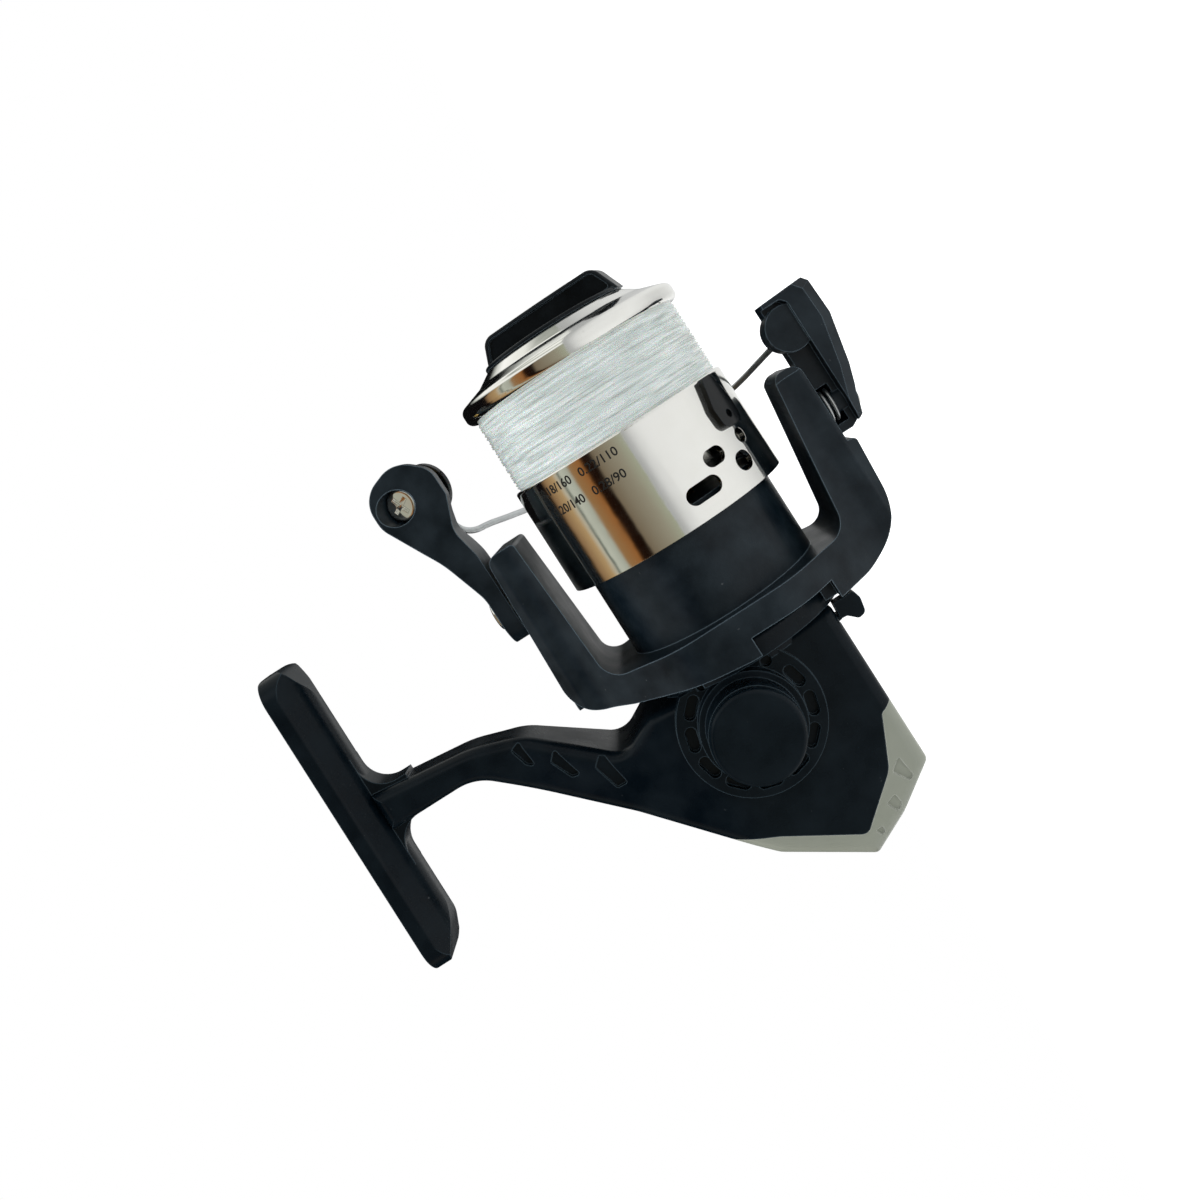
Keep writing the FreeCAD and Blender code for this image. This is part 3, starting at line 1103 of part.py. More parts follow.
skirt_inner = s.skirt_radius - s.skirt_wall
spool_turning = turned("spool_turning", [
    (-17.0, s.shaft_radius + s.running_gap), (-s.drag_pocket_floor, s.shaft_radius + s.running_gap),
    (-s.drag_pocket_floor, s.drag_pocket_radius), (s.spool_front, s.drag_pocket_radius),
    (s.spool_front, 13.6, 0.8), (3.1, 16.4, 2), (2.0, 19.6, 1.2), (1.5, s.lip_radius, 1.2), (-1.3, s.lip_radius, 1.2),
    (-s.line_front, 19.2, 0.4), (-s.line_front, s.arbor_radius), (-s.line_rear, s.arbor_radius),
    (-s.line_rear, s.skirt_radius, 0.5), (-s.skirt_rear, s.skirt_radius), (-s.skirt_rear, skirt_inner),
    (-16.5, skirt_inner, 0.6), (-16.5, s.arbor_radius - 1.5, 0.6), (-7.0, s.arbor_radius - 1.6, 0.8),
    (-7.0, 4.5, 0.8), (-17.0, 4.0)])
# each hole: its station, its angle about the spool axis from +Y towards +Z, its length round the skirt and its width
SKIRT_HOLES = [(-26.5, 212.0, 4.3, 2.9), (-29.8, 226.0, 3.9, 3.3), (-26.2, 233.5, 2.6, 2.8),
               (-30.0, 199.0, 6.6, 3.0)]


def skirt_windows():
    """Oval holes through the skirt, the same on both sides; long is round the skirt, wide along it."""
    windows = []
    for station, degrees, long, wide in SKIRT_HOLES:
        for turn in (0, 180):
            half = min(long, wide) / 2
            ends = (long - wide) / 2
            window = None
            for end in (-max(ends, 0), max(ends, 0)):
                hole = Part.makeCylinder(half, 8.0, Vector(0, end, 17.0))
                window = hole if window is None else window.fuse(hole)
            if ends > 0:
                window = window.fuse(Part.makeBox(wide, 2 * ends, 8.0, Vector(-half, -ends, 17.0)))
            window.rotate(Vector(), X_WAY, degrees - 90 + turn)
            window.translate(Vector(station, 0, 0))
            windows.append(window)
    return Part.makeCompound(windows)


keep("spool", cut("spool", spool_turning, [solid("skirt_windows", skirt_windows())]))
core_radius = s.line_radius - s.line_thickness
LINE_CLEARANCE = 0.02
keep("line_core", tube("line_core", -s.line_rear, -s.line_front, s.arbor_radius, core_radius))


def line_path():
    """The outer layer of line: even turns with their ends let into the flanges."""
    radius = float(core_radius + s.line_thickness / 2 + LINE_CLEARANCE)
    turns = float(s.line_turn_count)
    first = -float(s.line_front) - 0.75
    last = -float(s.line_rear) + 0.75
    pitch = (first - last) / turns
    edges, start, end = helix(radius, pitch, turns, math.radians(100), first)
    start_knee = start[0] - start[1] * 0.5 + Vector(0.5, 0, 0)
    end_knee = end[0] + end[1] * 0.5 - Vector(0.5, 0, 0)
    lead_in = arc_edge(start_knee, Vector(-1, 0, 0), start[0])
    lead_out = arc_edge(end[0], end[1], end_knee)
    low = Part.makeLine(start_knee + Vector(0.25, 0, 0), start_knee)
    high = Part.makeLine(end_knee, end_knee - Vector(0.25, 0, 0))
    return [low, lead_in] + edges + [lead_out, high], pitch


line_edges, line_pitch = line_path()
line_tube = swept(line_edges, float(s.line_thickness) / 2)
keep("line_turns", solid("line_turns", line_tube))


def least_gap(edges, thickness, apart):
    """The least distance between points of a wire that lie further apart along it than given."""
    points = []
    walked = 0.0
    for edge in edges:
        for point in edge.discretize(12)[:-1]:
            points.append((walked, point))
            walked += edge.Length / 11
    least = 1e9
    cells = {}
    for walk, point in points:
        cells.setdefault((round(point.x / 2), round(point.y / 2), round(point.z / 2)), []).append((walk, point))
    for walk, point in points[::3]:
        key = (round(point.x / 2), round(point.y / 2), round(point.z / 2))
        for a in (-1, 0, 1):
            for b in (-1, 0, 1):
                for c in (-1, 0, 1):
                    for other_walk, other in cells.get((key[0] + a, key[1] + b, key[2] + c), []):
                        if abs(other_walk - walk) > apart:
                            least = min(least, (other - point).Length - thickness)
    return least


print("least gap between turns of line: %.3f mm" % least_gap(line_edges, float(s.line_thickness), 20.0))

CLIP_DEGREES = 231.0
clip_plan = prism("clip_plan", "XY", [
    (-24.2, -2.6, 1.6), (-24.2, 2.6, 1.6), (-20.4, 2.9, 1.2), (-15.2, 1.4, 0.6), (-15.2, -1.4, 0.6),
    (-20.4, -2.9, 1.2)], 15.0, 25.0)
clip_outer = cylinder("clip_outer", "X", -30.0, 0.0, 0.0, s.skirt_radius + 1.1, 20.0)
clip_inner = cylinder("clip_inner", "X", -30.0, 0.0, 0.0, s.skirt_radius, 20.0)
clip_hole = cylinder("clip_hole", "Z", -22.2, 0.0, 15.0, 0.7, 10.0)
clip_flat = cut("clip_flat", shared("clip_blank", clip_plan, clip_outer), [clip_inner, clip_hole])
clip_flat.Placement = FreeCAD.Placement(Vector(), FreeCAD.Rotation(X_WAY, CLIP_DEGREES - 90))
keep("line_clip", clip_flat)

felts = [tube("felt_%d" % k, low, low + 1.0, 2.0, s.drag_pocket_radius - 0.4)
         for k, low in enumerate((-4.0, -2.2, -0.4))]
keep("drag_felt_washers", fused("drag_felt_washers", felts))
plates = [tube("plate_%d" % k, low, low + 0.75, s.shaft_radius, 8.6) for k, low in enumerate((-2.97, -1.17))]
keep("drag_metal_washers", fused("drag_metal_washers", plates))
ring_gap = prism("ring_gap", "XY", [(0.0, -1.4), (3.0, -1.4), (3.0, 1.4), (0.0, 1.4)], 5.0, 12.0)
keep("drag_retaining_ring", cut("drag_retaining_ring", tube("retaining_ring", 0.9, 1.5, 8.2, s.drag_pocket_radius),
                                [ring_gap]))
keep("clicker", fused("clicker", [
    cylinder("clicker_pin", "X", -18.0, 0.0, 8.6, 0.9, 1.5),
    prism("clicker_tongue", "YZ", [(-1.3, 9.6, 1.0), (1.3, 9.6, 1.0), (0.5, 5.9, 0.3), (-0.5, 5.9, 0.3)],
          -19.0, -18.0)]))

# Drag knob

knob_base = turned("knob_base", [
    (4.99, 1.6), (8.5, 1.6), (8.5, 0.0), (9.2, 0.0), (9.2, 2.6), (5.7, 2.6), (5.7, s.knob_radius, 0.4),
    (4.99, s.knob_radius), (4.99, 8.7), (2.2, 8.7), (2.2, 6.6), (4.99, 6.6)])
grip_bar = prism("grip_bar", "XZ", [
    (5.2, -s.grip_half_length - 0.5), (s.knob_top, -s.grip_half_length + 1.6, 2.4),
    (s.knob_top - 0.1, s.grip_half_length - 2.7, 2.4), (5.2, s.grip_half_length - 0.5)],
    -s.grip_half_width - 0.4, s.grip_half_width + 0.4)
grip_ends = prism("grip_ends", "YZ", [
    (-2.7, -16.0), (2.7, -16.0), (s.grip_half_width + 0.3, 0.0, 40), (2.7, 16.0), (-2.7, 16.0),
    (-s.grip_half_width - 0.3, 0.0, 40)], 0.0, 20.0)
grip_shape = softened("grip_shape", shared("grip_sharp", grip_bar, grip_ends), 0.5,
                      lambda edge: edge.BoundBox.XMax > 5.3)
HOLLOW = [(5.9, -12.9, 0.6), (9.7, -11.2, 1.5), (9.6, 10.1, 1.5), (5.9, 11.8, 0.6)]
grip_hollows = [prism("grip_hollow_0", "XZ", HOLLOW, 2.7, 5.0), prism("grip_hollow_1", "XZ", HOLLOW, -5.0, -2.7)]
grip_bored = cut("grip_bored", grip_shape, grip_hollows + [rod("grip_room", 5.0, 8.5, 1.6)])
nut_room = doc.addObject("Part::Prism", "nut_room")
nut_room.Polygon = 6
nut_room.Circumradius = 3.4
nut_room.Height = 2.4
nut_room.Placement = FreeCAD.Placement(Vector(3.2, 0, 0), FreeCAD.Rotation(Y_WAY, 90))
drag_knob = cut("drag_knob", fused("knob_blank", [knob_base, grip_bored]), [nut_room])
drag_knob.Placement = FreeCAD.Placement(Vector(), FreeCAD.Rotation(X_WAY, -float(s.grip_turn)))
keep("drag_knob", drag_knob)
knob_nut = doc.addObject("Part::Prism", "knob_nut_hexagon")
knob_nut.Polygon = 6
knob_nut.Circumradius = 3.4
knob_nut.Height = 2.4
knob_nut.Placement = FreeCAD.Placement(Vector(3.2, 0, 0), FreeCAD.Rotation(Y_WAY, 90))
knob_nut_bored = cut("knob_nut", knob_nut, [rod("knob_nut_bore", 3.0, 7.0, s.shaft_radius + 0.04)])
knob_nut_bored.Placement = FreeCAD.Placement(Vector(), FreeCAD.Rotation(X_WAY, -float(s.grip_turn)))
keep("knob_nut", knob_nut_bored)
keep("pressure_washer", tube("pressure_washer", 0.66, 1.4, s.shaft_radius + 0.05, 7.9))
spring_edges = helix(4.9, 1.2, 2, 0.0, 4.5)[0]
keep("drag_spring", solid("drag_spring", swept(spring_edges, 0.35)))

doc.recompute()

for thing in doc.Objects:
    wrong = [word for word in thing.State if word in ("Invalid", "Error")]
    if wrong:
        raise RuntimeError("%s did not build: %s" % (thing.Name, ", ".join(wrong)))

os.makedirs("parts", exist_ok=True)
for name, thing in pieces.items():
    shape = thing.Shape
    if shape.isNull() or not shape.isValid() or shape.Volume <= 0 or not shape.Solids:
        raise RuntimeError("%s has no sound solid" % name)
    shape.exportStep("parts/%s.step" % name)
print("%d pieces written" % len(pieces))
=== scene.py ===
import json
import math
import random

import bpy
from mathutils import Matrix, Vector


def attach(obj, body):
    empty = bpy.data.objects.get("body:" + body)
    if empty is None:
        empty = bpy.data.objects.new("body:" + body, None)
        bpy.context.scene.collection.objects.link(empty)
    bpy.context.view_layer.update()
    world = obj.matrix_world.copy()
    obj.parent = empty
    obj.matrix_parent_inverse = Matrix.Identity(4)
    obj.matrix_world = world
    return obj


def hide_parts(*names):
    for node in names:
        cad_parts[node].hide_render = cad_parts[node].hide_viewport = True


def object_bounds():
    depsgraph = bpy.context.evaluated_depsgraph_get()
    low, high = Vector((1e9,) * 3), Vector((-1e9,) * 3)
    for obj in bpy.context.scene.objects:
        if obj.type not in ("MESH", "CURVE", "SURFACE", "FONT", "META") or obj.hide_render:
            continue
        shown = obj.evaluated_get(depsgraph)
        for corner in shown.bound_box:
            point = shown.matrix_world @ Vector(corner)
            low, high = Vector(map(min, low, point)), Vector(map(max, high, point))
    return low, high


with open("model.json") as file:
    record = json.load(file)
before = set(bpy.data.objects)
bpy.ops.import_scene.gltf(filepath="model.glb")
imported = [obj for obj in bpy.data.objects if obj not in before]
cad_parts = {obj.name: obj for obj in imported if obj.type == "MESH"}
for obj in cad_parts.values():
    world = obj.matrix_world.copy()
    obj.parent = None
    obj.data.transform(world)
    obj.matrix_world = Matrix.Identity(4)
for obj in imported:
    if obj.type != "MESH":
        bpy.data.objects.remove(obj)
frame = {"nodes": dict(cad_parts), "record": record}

cad_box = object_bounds()
chance = random.Random(7)

# The reel's own origin is on the spool axis, in the plane of the spool's front lip.
MM = 0.001
LIP_STATION, AXIS_DROP = 47.0, 74.2


def reel(x, y, z):
    """A point in the reel's own millimetres, as a point of the row frame in metres."""
    return Vector((x + LIP_STATION, y, z - AXIS_DROP)) * MM


def linear(code):
    """An sRGB hex colour as linear RGBA."""
    values = [int(code[i:i + 2], 16) / 255 for i in (1, 3, 5)]
    return tuple(v / 12.92 if v <= 0.04045 else ((v + 0.055) / 1.055) ** 2.4 for v in values) + (1.0,)


# Camera, matched to the photograph

CAMERA_POINT = (-13.0, -206.0, -2.5)
PICTURE_RIGHT = Vector((-0.5373, 0.0, -0.8434))
PICTURE_UP = Vector((0.8434, 0.0, -0.5373))
camera = bpy.data.objects.new("camera", bpy.data.cameras.new("camera"))
bpy.context.scene.collection.objects.link(camera)
bpy.context.scene.camera = camera
turn = Matrix((PICTURE_RIGHT, PICTURE_UP, PICTURE_RIGHT.cross(PICTURE_UP))).transposed()
camera.matrix_world = Matrix.Translation(reel(*CAMERA_POINT)) @ turn.to_4x4()
camera.data.sensor_width = 36.0
camera.data.lens = 36.03
camera.data.shift_x = -0.0194
camera.data.shift_y = -0.1565
camera.data.clip_start = 0.005
camera.data.clip_end = 20.0

bpy.context.scene.view_settings.view_transform = "Standard"


# Materials

def add(tree, kind, sockets=(), stops=(), **settings):
    """Adds a shader node: settings are its properties, sockets its values or the outputs that feed it.

    The stops of a colour ramp are two or more pairs of a position and a colour.
    """
    node = tree.nodes.new("ShaderNode" + kind)
    for name, value in settings.items():
        setattr(node, name, value)
    for name, value in dict(sockets).items():
        if isinstance(value, bpy.types.NodeSocket):
            tree.links.new(value, node.inputs[name])
        else:
            node.inputs[name].default_value = value
    for _ in stops[2:]:
        node.color_ramp.elements.new(0.5)
    for number, (position, colour) in enumerate(stops):
        node.color_ramp.elements[number].position = position
        node.color_ramp.elements[number].color = linear(colour)
    return node


def material(name, **values):
    """A new material with its shader; values are the shader's own sockets, with spaces as underscores."""
    made = bpy.data.materials.new(name)
    made.use_nodes = True
    shader = made.node_tree.nodes["Principled BSDF"]
    for word, value in values.items():
        shader.inputs[word.replace("_", " ")].default_value = value
    return made, made.node_tree, shader


# the painted highlight on an edge begins, and is palest, where the cosine between its own and its rounded
# normal is this
EDGE_BEGINS, EDGE_FULL = 0.995, 0.86
# in millimetres: the patches that handling leaves on plastic and on metal, and dust, which is drawn
# coarser than it is so that it shows
PLASTIC_PATCH, METAL_PATCH, SPECK_SIZE = 6.0, 3.0, 1.1
DUST = "#8A8D90"
# how much smoother and rougher than its own value a surface is in its patches
SMOOTHER, ROUGHER, METAL_ROUGHER = 0.05, 0.07, 0.08


def moulded(name, body, edge, rough, grain, relief, shine=0.3, rounding=0.3, coat=0.0):
    """A moulded plastic: body colour, colour of its painted edge highlight, roughness, grain size and relief
    in millimetres.
    """
    made, tree, shader = material(name, IOR=1.5, Specular_IOR_Level=shine, Coat_Weight=coat,
                                  Coat_Roughness=0.12)
    place = add(tree, "TexCoord").outputs["Object"]
    soft = add(tree, "Bevel", {"Radius": rounding * MM}, samples=6)
    true = add(tree, "NewGeometry").outputs["Normal"]
    flat = add(tree, "VectorMath", {0: soft.outputs[0], 1: true}, operation="DOT_PRODUCT").outputs["Value"]
    # painted highlight: where the rounded normal leans off the face's own, the edge is paled towards the
    # edge colour
    painted_edge_highlight = add(tree, "MapRange", {"Value": flat, "From Min": EDGE_BEGINS, "From Max": EDGE_FULL}).outputs[0]
    patches = add(tree, "TexNoise", {"Vector": place, "Scale": 1 / (PLASTIC_PATCH * MM),
                                     "Detail": 3.0}).outputs["Fac"]
    specks = add(tree, "TexNoise", {"Vector": place, "Scale": 1 / (SPECK_SIZE * MM),
                                    "Detail": 4.0}).outputs["Fac"]
    dust = add(tree, "MapRange", {"Value": specks, "From Min": 0.74, "From Max": 0.80,
                                  "To Max": 0.3}).outputs[0]
    uneven = add(tree, "MapRange", {"Value": patches, "From Min": 0.3, "From Max": 0.75,
                                    "To Max": 0.1}).outputs[0]
    tone = add(tree, "Mix", {"Factor": uneven, 6: linear(body), 7: linear(edge)},
               data_type="RGBA").outputs[2]
    # the painted edge highlight is mixed into the colour here
    lit = add(tree, "Mix", {"Factor": painted_edge_highlight, 6: tone, 7: linear(edge)}, data_type="RGBA").outputs[2]
    colour = add(tree, "Mix", {"Factor": dust, 6: lit, 7: linear(DUST)}, data_type="RGBA").outputs[2]
    tree.links.new(colour, shader.inputs["Base Color"])
    gloss = add(tree, "MapRange", {"Value": patches, "From Min": 0.3, "From Max": 0.7,
                                   "To Min": rough - SMOOTHER, "To Max": rough + ROUGHER}).outputs[0]
    tree.links.new(gloss, shader.inputs["Roughness"])
    skin = add(tree, "TexNoise", {"Vector": place, "Scale": 1 / (grain * MM), "Detail": 2.0}).outputs["Fac"]
    bump = add(tree, "Bump", {"Height": skin, "Distance": relief * MM, "Strength": 1.0,
                              "Normal": soft.outputs[0]}).outputs[0]
    tree.links.new(bump, shader.inputs["Normal"])
    return made


def metal(name, colour, rough, wave, relief, scratch=0.0, rounding=0.15):
    """A bare or plated metal: colour, roughness, and its surface waves' size and relief in millimetres."""
    made, tree, shader = material(name, Metallic=1.0)
    place = add(tree, "TexCoord").outputs["Object"]
    patches = add(tree, "TexNoise", {"Vector": place, "Scale": 1 / (METAL_PATCH * MM),
                                     "Detail": 4.0}).outputs["Fac"]
    shade = add(tree, "MapRange", {"Value": patches, "From Min": 0.35, "From Max": 0.7,
                                   "To Max": 0.18}).outputs[0]
    tone = add(tree, "Mix", {"Factor": shade, 6: linear(colour), 7: linear(colour)}, data_type="RGBA",
               blend_type="MULTIPLY").outputs[2]
    tree.links.new(tone, shader.inputs["Base Color"])
    gloss = add(tree, "MapRange", {"Value": patches, "From Min": 0.3, "From Max": 0.75, "To Min": rough,
                                   "To Max": rough + METAL_ROUGHER + scratch}).outputs[0]
    tree.links.new(gloss, shader.inputs["Roughness"])
    soft = add(tree, "Bevel", {"Radius": rounding * MM}, samples=6)
    waves = add(tree, "TexNoise", {"Vector": place, "Scale": 1 / (wave * MM), "Detail": 2.0}).outputs["Fac"]
    bump = add(tree, "Bump", {"Height": waves, "Distance": relief * MM, "Strength": 1.0,
                              "Normal": soft.outputs[0]}).outputs[0]
    tree.links.new(bump, shader.inputs["Normal"])
    return made


# nylon monofilament, drawn and clear: white where it is deep, with a wet shine on each turn; the little
# emission stands for the light that clear line carries in between its turns
nylon, tree, shader = material("nylon_monofilament", Roughness=0.22, IOR=1.53, Subsurface_Weight=0.25,
                               Subsurface_Scale=0.001, Coat_Weight=0.2, Coat_Roughness=0.1,
                               Emission_Color=linear("#F2F8F5"), Emission_Strength=0.16)
place = add(tree, "TexCoord").outputs["Object"]
# its streaks are two turns of line across and nine millimetres along, coarser than the real ones to show
STREAK_WIDE, STREAK_LONG = 0.5, 9.0
streak = (1 / (STREAK_WIDE * MM), 1 / (STREAK_LONG * MM), 1 / (STREAK_LONG * MM))
bands = add(tree, "Mapping", {"Vector": place, "Scale": streak}).outputs[0]
streaks = add(tree, "TexNoise", {"Vector": bands, "Scale": 1.0, "Detail": 4.0,
                                 "Roughness": 0.6}).outputs["Fac"]
tone = add(tree, "ValToRGB", {"Fac": streaks},
           stops=[(0.30, "#ACB6B3"), (0.48, "#DAE2E0"), (0.66, "#FFFFFF")]).outputs[0]
tree.links.new(tone, shader.inputs["Base Color"])

# the grain of a moulded or sprayed surface is finer than a pixel, and is drawn as coarse as it needs to show
finishes = {
    # ABS, moulded in a finely textured tool: satin and blue-black, with a painted highlight along its edges
    "case_black": moulded("moulded_abs_satin", "#040F17", "#44545E", 0.28, 0.22, 0.008, shine=0.14),
    # glass-filled nylon, moulded: matt and a little grainy, with a pale painted highlight on its bevels
    "rotor_black": moulded("moulded_nylon_matt", "#07141D", "#7A8C98", 0.34, 0.30, 0.016, shine=0.22),
    # ABS, moulded in a polished tool: smooth with a soft shine
    "knob_black": moulded("moulded_abs_smooth", "#03090F", "#5A666E", 0.30, 0.5, 0.006, shine=0.15),
    # thermoplastic rubber: dull and soft to the eye
    "grip_black": moulded("moulded_rubber", "#0D0E10", "#2C2D2F", 0.62, 0.35, 0.02),
    # acetal, moulded and polished: black with a wet shine
    "cone_black": moulded("moulded_acetal_black", "#03070B", "#20272D", 0.18, 0.5, 0.004, shine=0.35,
                          coat=0.06),
    # ABS under pale silver lacquer: a warm grey with a fine metallic bloom
    "silver_trim": moulded("silver_lacquer", "#A6AA9C", "#D6D9CF", 0.36, 0.25, 0.012, shine=0.5, coat=0.2),
    # ABS plated with chromium: a mirror with slow waves in it
    "chrome": metal("chromium_plate", "#F4F3EF", 0.05, 5.0, 0.030),
    # drawn and turned carbon steel: bright but not a mirror
    "steel": metal("bright_steel", "#CDD0D1", 0.34, 1.2, 0.010, scratch=0.08),
    # turned brass: yellow, with the satin of its tool marks
    "brass": metal("machined_brass", "#C9A55A", 0.24, 0.8, 0.010, scratch=0.1),
    # polished brass: yellow and almost a mirror, where the line runs
    "brass_roller": metal("polished_brass", "#D8B870", 0.12, 1.5, 0.006),
    # die-cast zinc: dull grey, a little pitted
    "zinc": metal("zinc_casting", "#9A9DA0", 0.42, 0.6, 0.030, scratch=0.1),
    # enamel, sprayed on a casting: deep black under a gloss
    "arm_paint": moulded("black_enamel", "#0A0B0D", "#2B2C2E", 0.26, 0.8, 0.010, coat=0.4),
    # acetal, moulded in its own colour: milky white and waxy
    "gear_plastic": moulded("white_acetal", "#CFCDC4", "#DAD8D0", 0.38, 0.5, 0.008),
    # pressed wool felt, oiled: dark, soft and without shine
    "felt": moulded("oiled_felt", "#5A5649", "#6C6858", 0.9, 0.25, 0.08),
    "fishing_line": nylon,
}

for subpart in frame["record"]["subparts"]:
    node = frame["nodes"][subpart["node"]]
    node.data.materials.clear()
    node.data.materials.append(finishes[subpart["material_slot"]])


# Floor, world and lamps

# in metres: how far the paper reaches to each side, and how far it lies below the reel
REACH, FLOOR_DROP = 4.0, 0.045
low = cad_box[0].z - FLOOR_DROP
floor_mesh = bpy.data.meshes.new("floor")
floor_mesh.from_pydata([(-REACH, -REACH, low), (REACH, -REACH, low), (REACH, REACH, low),
                        (-REACH, REACH, low)], [], [(0, 1, 2, 3)])
floor = bpy.data.objects.new("floor", floor_mesh)
bpy.context.scene.collection.objects.link(floor)
# white paper: it glows as a bright background for the camera, and faintly for metal to mirror, and its
# glow lights nothing else; it still takes the reel's shadow
pale, tree, shader = material("floor_paper", Base_Color=linear("#FAFAF8"), Roughness=0.9,
                              Emission_Color=(1.0, 1.0, 1.0, 1.0))
SEEN_GLOW, MIRRORED_GLOW = 0.9, 0.1
rays = add(tree, "LightPath").outputs
seen = add(tree, "Math", {0: rays["Is Camera Ray"], 1: rays["Is Transmission Ray"]},
           operation="MAXIMUM").outputs[0]
bright = add(tree, "Math", {0: seen, 1: SEEN_GLOW}, operation="MULTIPLY").outputs[0]
dimmer = add(tree, "Math", {0: rays["Is Glossy Ray"], 1: MIRRORED_GLOW}, operation="MULTIPLY").outputs[0]
glow = add(tree, "Math", {0: bright, 1: dimmer}, operation="MAXIMUM").outputs[0]
tree.links.new(glow, shader.inputs["Emission Strength"])
floor.data.materials.append(pale)

world = bpy.data.worlds.new("studio")
bpy.context.scene.world = world
world.use_nodes = True
tree = world.node_tree
tree.nodes.clear()
way = add(tree, "SeparateXYZ", {0: add(tree, "TexCoord").outputs["Generated"]})
nearer = add(tree, "Math", {0: way.outputs[1], 1: -1.0}, operation="MULTIPLY").outputs[0]
angle = add(tree, "Math", {0: way.outputs[2], 1: nearer}, operation="ARCTAN2").outputs[0]
share = add(tree, "MapRange", {"Value": angle, "From Min": -math.pi, "From Max": math.pi}).outputs[0]
# the room round the studio, which polished metal shows: degrees round the spool axis, from behind the reel
# at -180 past the ground at -90, the camera at 0 and the zenith at 90; the paper hides what is below it
ROOM = [(-180, "#0A0B0C"), (-141, "#0A0B0C"), (-132, "#6A6C6A"), (-116, "#B4B7B0"), (-103, "#F4F4F2"),
        (-64, "#F4F4F2"), (-56, "#D5D8C4"), (-40, "#D5D8C4"), (-34, "#F6F6F4"), (-9, "#F6F6F4"),
        (-3, "#9A9F8C"), (10, "#8A8574"), (31, "#6E6250"), (34, "#150A05"), (43, "#1C0D06"),
        (46, "#8A5A30"), (58, "#8A6A45"), (61, "#9EA296"), (70, "#B0B3A6"), (72.5, "#3E4A42"),
        (75, "#B0AC9C"), (80, "#A58A62"), (92, "#846849"), (97, "#0A0708"), (180, "#0A0B0C")]
around = add(tree, "ValToRGB", {"Fac": share},
             stops=[((degrees + 180) / 360, colour) for degrees, colour in ROOM]).outputs[0]
# what lies ahead of the spool, from its side to straight ahead: a pale wall with a darker doorway in it
WALL = [(0.5, "#B9BCB6"), (0.62, "#F2F2EF"), (0.80, "#E2E3DE"), (0.87, "#8B8F87"), (0.92, "#C9CCC5"),
        (1.0, "#F0F0EC")]
wall = add(tree, "ValToRGB", {"Fac": way.outputs[0]}, stops=WALL).outputs[0]
walled = add(tree, "MapRange", {"Value": way.outputs[0], "From Min": 0.42, "From Max": 0.52}).outputs[0]
room = add(tree, "Mix", {"Factor": walled, 6: around, 7: wall}, data_type="RGBA")
ROOM_LEVEL, SKY_LEVEL = 1.15, 0.36
SKY_COLOUR = (0.95, 0.98, 1.0, 1.0)
rays = add(tree, "LightPath").outputs
metal_light = add(tree, "Background", {"Color": room.outputs[2], "Strength": ROOM_LEVEL})
plain_light = add(tree, "Background", {"Color": SKY_COLOUR, "Strength": SKY_LEVEL})
white = add(tree, "Background", {"Color": (1.0, 1.0, 1.0, 1.0), "Strength": 1.0})
light = add(tree, "MixShader", {0: rays["Is Glossy Ray"], 1: plain_light.outputs[0],
                                2: metal_light.outputs[0]})
view = add(tree, "MixShader", {0: rays["Is Camera Ray"], 1: light.outputs[0], 2: white.outputs[0]})
add(tree, "OutputWorld", {"Surface": view.outputs[0]})


LAMP_TARGET = (-30.0, 0.0, 0.0)


def lamp(name, place, size, power, mirrored):
    """A square lamp: place in reel millimetres, side in metres, power in watts, and if metal mirrors it."""
    data = bpy.data.lights.new(name, "AREA")
    data.size = size
    data.energy = power
    thing = bpy.data.objects.new(name, data)
    bpy.context.scene.collection.objects.link(thing)
    thing.location = reel(*place)
    thing.rotation_euler = (reel(*LAMP_TARGET) - thing.location).to_track_quat("-Z", "Y").to_euler()
    thing.visible_glossy = mirrored


lamp("key_lamp", (170.0, -420.0, -320.0), size=0.30, power=3.2, mirrored=True)
lamp("top_lamp", (-100.0, -120.0, 520.0), size=0.45, power=1.8, mirrored=False)
lamp("back_lamp", (-350.0, 420.0, 150.0), size=0.4, power=1.2, mirrored=False)


# Pieces

def piece(name, vertices, faces, body, slot, finish=None, smooth=True):
    """A mesh from points in reel millimetres, on a body, with its finish."""
    mesh = bpy.data.meshes.new(name)
    mesh.from_pydata([reel(*point) for point in vertices], [], faces)
    mesh.polygons.foreach_set("use_smooth", [smooth] * len(mesh.polygons))
    thing = bpy.data.objects.new(name, mesh)
    bpy.context.scene.collection.objects.link(thing)
    mesh.materials.append(finish or finishes[slot])
    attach(thing, body)
    return thing


def strand(points, ways, radius, sides):
    """Rings of vertices round a line of points, each turned to its way, and the faces between them."""
    vertices, faces = [], []
    for point, way in zip(points, ways):
        out = Vector((0.0, point.y, point.z)).normalized()
        across = way.cross(out).normalized()
        for k in range(sides):
            a = 2 * math.pi * k / sides
            vertices.append(point + (out * math.cos(a) + across * math.sin(a)) * radius)
    for ring in range(len(points) - 1):
        for k in range(sides):
            one, two = ring * sides + k, ring * sides + (k + 1) % sides
            faces.append((one, two, two + sides, one + sides))
    faces.append(tuple(range(sides - 1, -1, -1)))
    faces.append(tuple((len(points) - 1) * sides + k for k in range(sides)))
    return vertices, faces


# in reel millimetres: where the winding begins and ends on the spool, and the line's radius; then how many
# sides it is drawn with, and how many steps a turn of it has
LINE_FRONT, LINE_REAR = -1.7, -14.8
LINE_RADIUS = 0.125
LINE_SIDES = 5
TURN_STEPS = 60
# the line wanders off its even lay anew this many times a turn, and rises or sinks by up to this much
WANDERS = 3
LIFT = 0.03


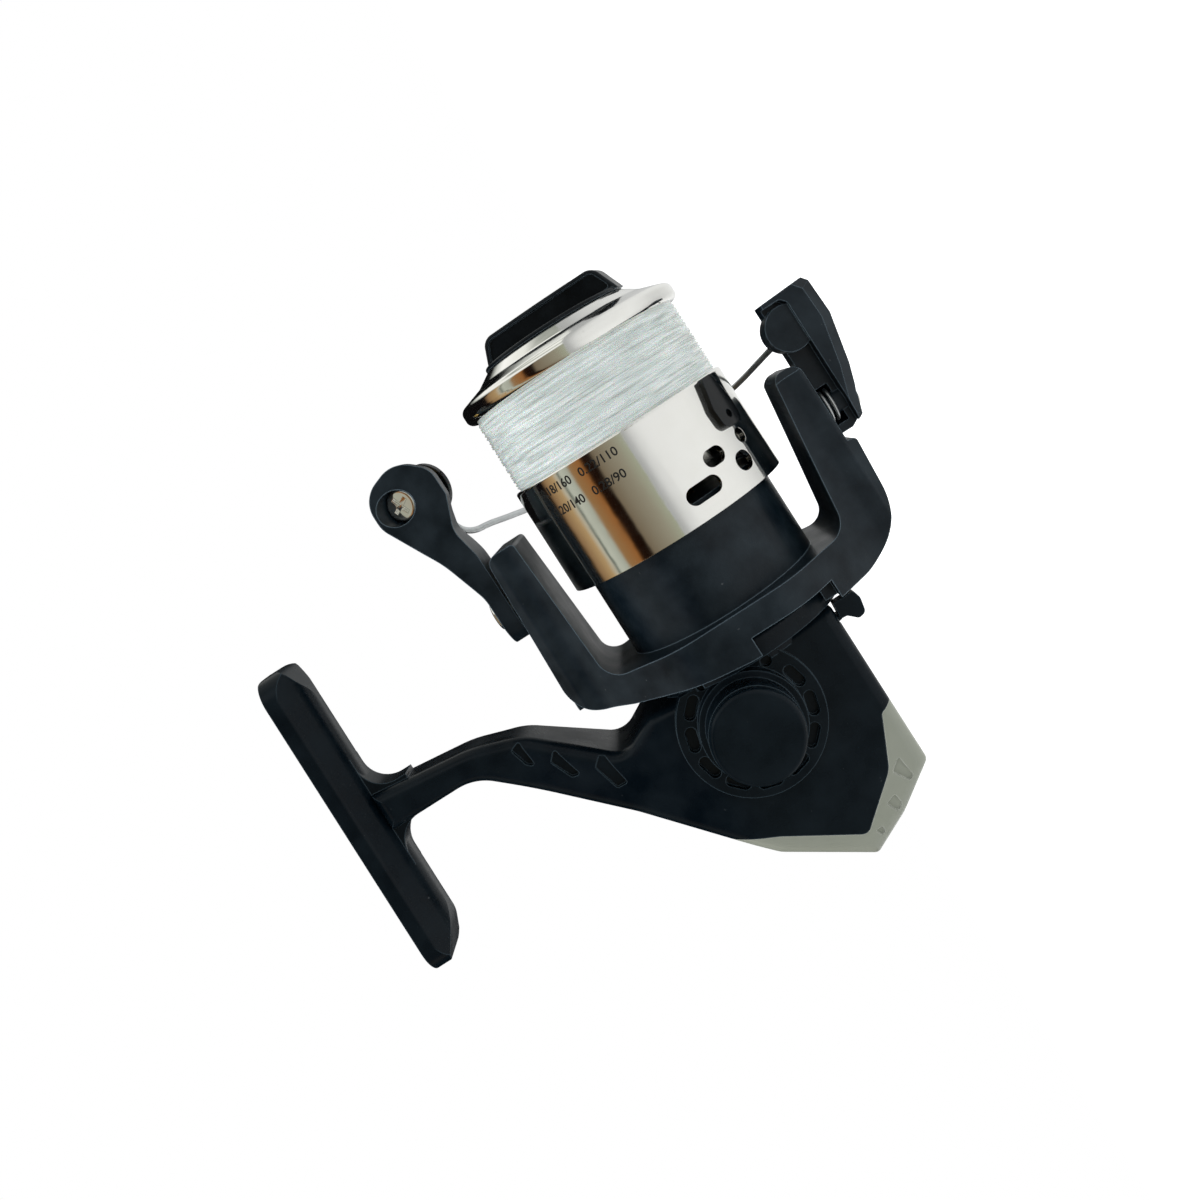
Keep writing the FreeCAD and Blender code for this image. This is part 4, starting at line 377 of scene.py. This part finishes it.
def winding(radius, turns, strokes, start, wander):
    """A line wound on the spool: turns in all, laid to and fro in strokes, wandering a little."""
    points = []
    drift = [chance.uniform(-1, 1) for _ in range(int(turns) * WANDERS + 4)]
    for i in range(int(turns * TURN_STEPS) + 1):
        t = i / TURN_STEPS
        phase = (t / turns * strokes + start) % 2.0
        share = phase if phase <= 1.0 else 2.0 - phase
        x = LINE_FRONT + (LINE_REAR - LINE_FRONT) * share
        k = t * WANDERS
        soft = drift[int(k)] * (1 - k % 1) + drift[int(k) + 1] * (k % 1)
        x = min(LINE_FRONT, max(LINE_REAR, x + soft * wander))
        r = radius + soft * LIFT
        a = 2 * math.pi * t
        points.append(Vector((x, r * math.cos(a), r * math.sin(a))))
    last = len(points) - 1
    ways = [(points[min(i + 1, last)] - points[max(i - 1, 0)]).normalized() for i in range(last + 1)]
    return strand(points, ways, LINE_RADIUS, LINE_SIDES)


def joined(parts):
    """Several (vertices, faces) as one."""
    vertices, faces = [], []
    for some, shapes in parts:
        base = len(vertices)
        vertices += some
        faces += [tuple(base + i for i in face) for face in shapes]
    return vertices, faces


vertices, faces = joined([winding(radius=19.45, turns=46.0, strokes=1.0, start=0.0, wander=0.05),
                          winding(radius=19.62, turns=30.0, strokes=3.0, start=0.35, wander=0.25)])
line = piece("line_winding", vertices, faces, "spool", "fishing_line")
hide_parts("line_turns")

# pad-printing ink: dull black figures on the chrome, the line table in plain numbers
ink = material("printing_ink", Base_Color=linear("#15181A"), Roughness=0.45)[0]
# in millimetres: the skirt's radius under the print, how far the ink goes out and in from there, how far it
# spreads past the type's outline, and the size of the type, whose figures stand about 1.5 high
INK_RADIUS = 20.5
INK_DEPTH, INK_SPREAD = 0.03, 0.03
TYPE_SIZE = 2.1


def printed(name, words, station, start):
    """Figures in ink round the skirt at a station, their tops forward, from a start in degrees above -Y."""
    letters = bpy.data.curves.new(name + "_letters", "FONT")
    letters.body = words
    letters.size = TYPE_SIZE
    letters.extrude = INK_DEPTH
    letters.offset = INK_SPREAD
    letters.resolution_u = 3
    drawn = bpy.data.objects.new(name + "_letters", letters)
    flat = drawn.to_mesh()
    points = []
    for vertex in flat.vertices:
        a = math.radians(start) - vertex.co.x / INK_RADIUS
        r = INK_RADIUS + vertex.co.z
        points.append((station + vertex.co.y, -r * math.cos(a), r * math.sin(a)))
    shapes = [tuple(polygon.vertices) for polygon in flat.polygons]
    drawn.to_mesh_clear()
    bpy.data.objects.remove(drawn)
    return piece(name, points, shapes, "spool", "chrome", ink, smooth=False)


printed("ink_row_ahead", "0.18/160   0.22/110", station=-18.0, start=50.0)
printed("ink_row_behind", "0.20/140   0.28/90", station=-21.6, start=49.0)
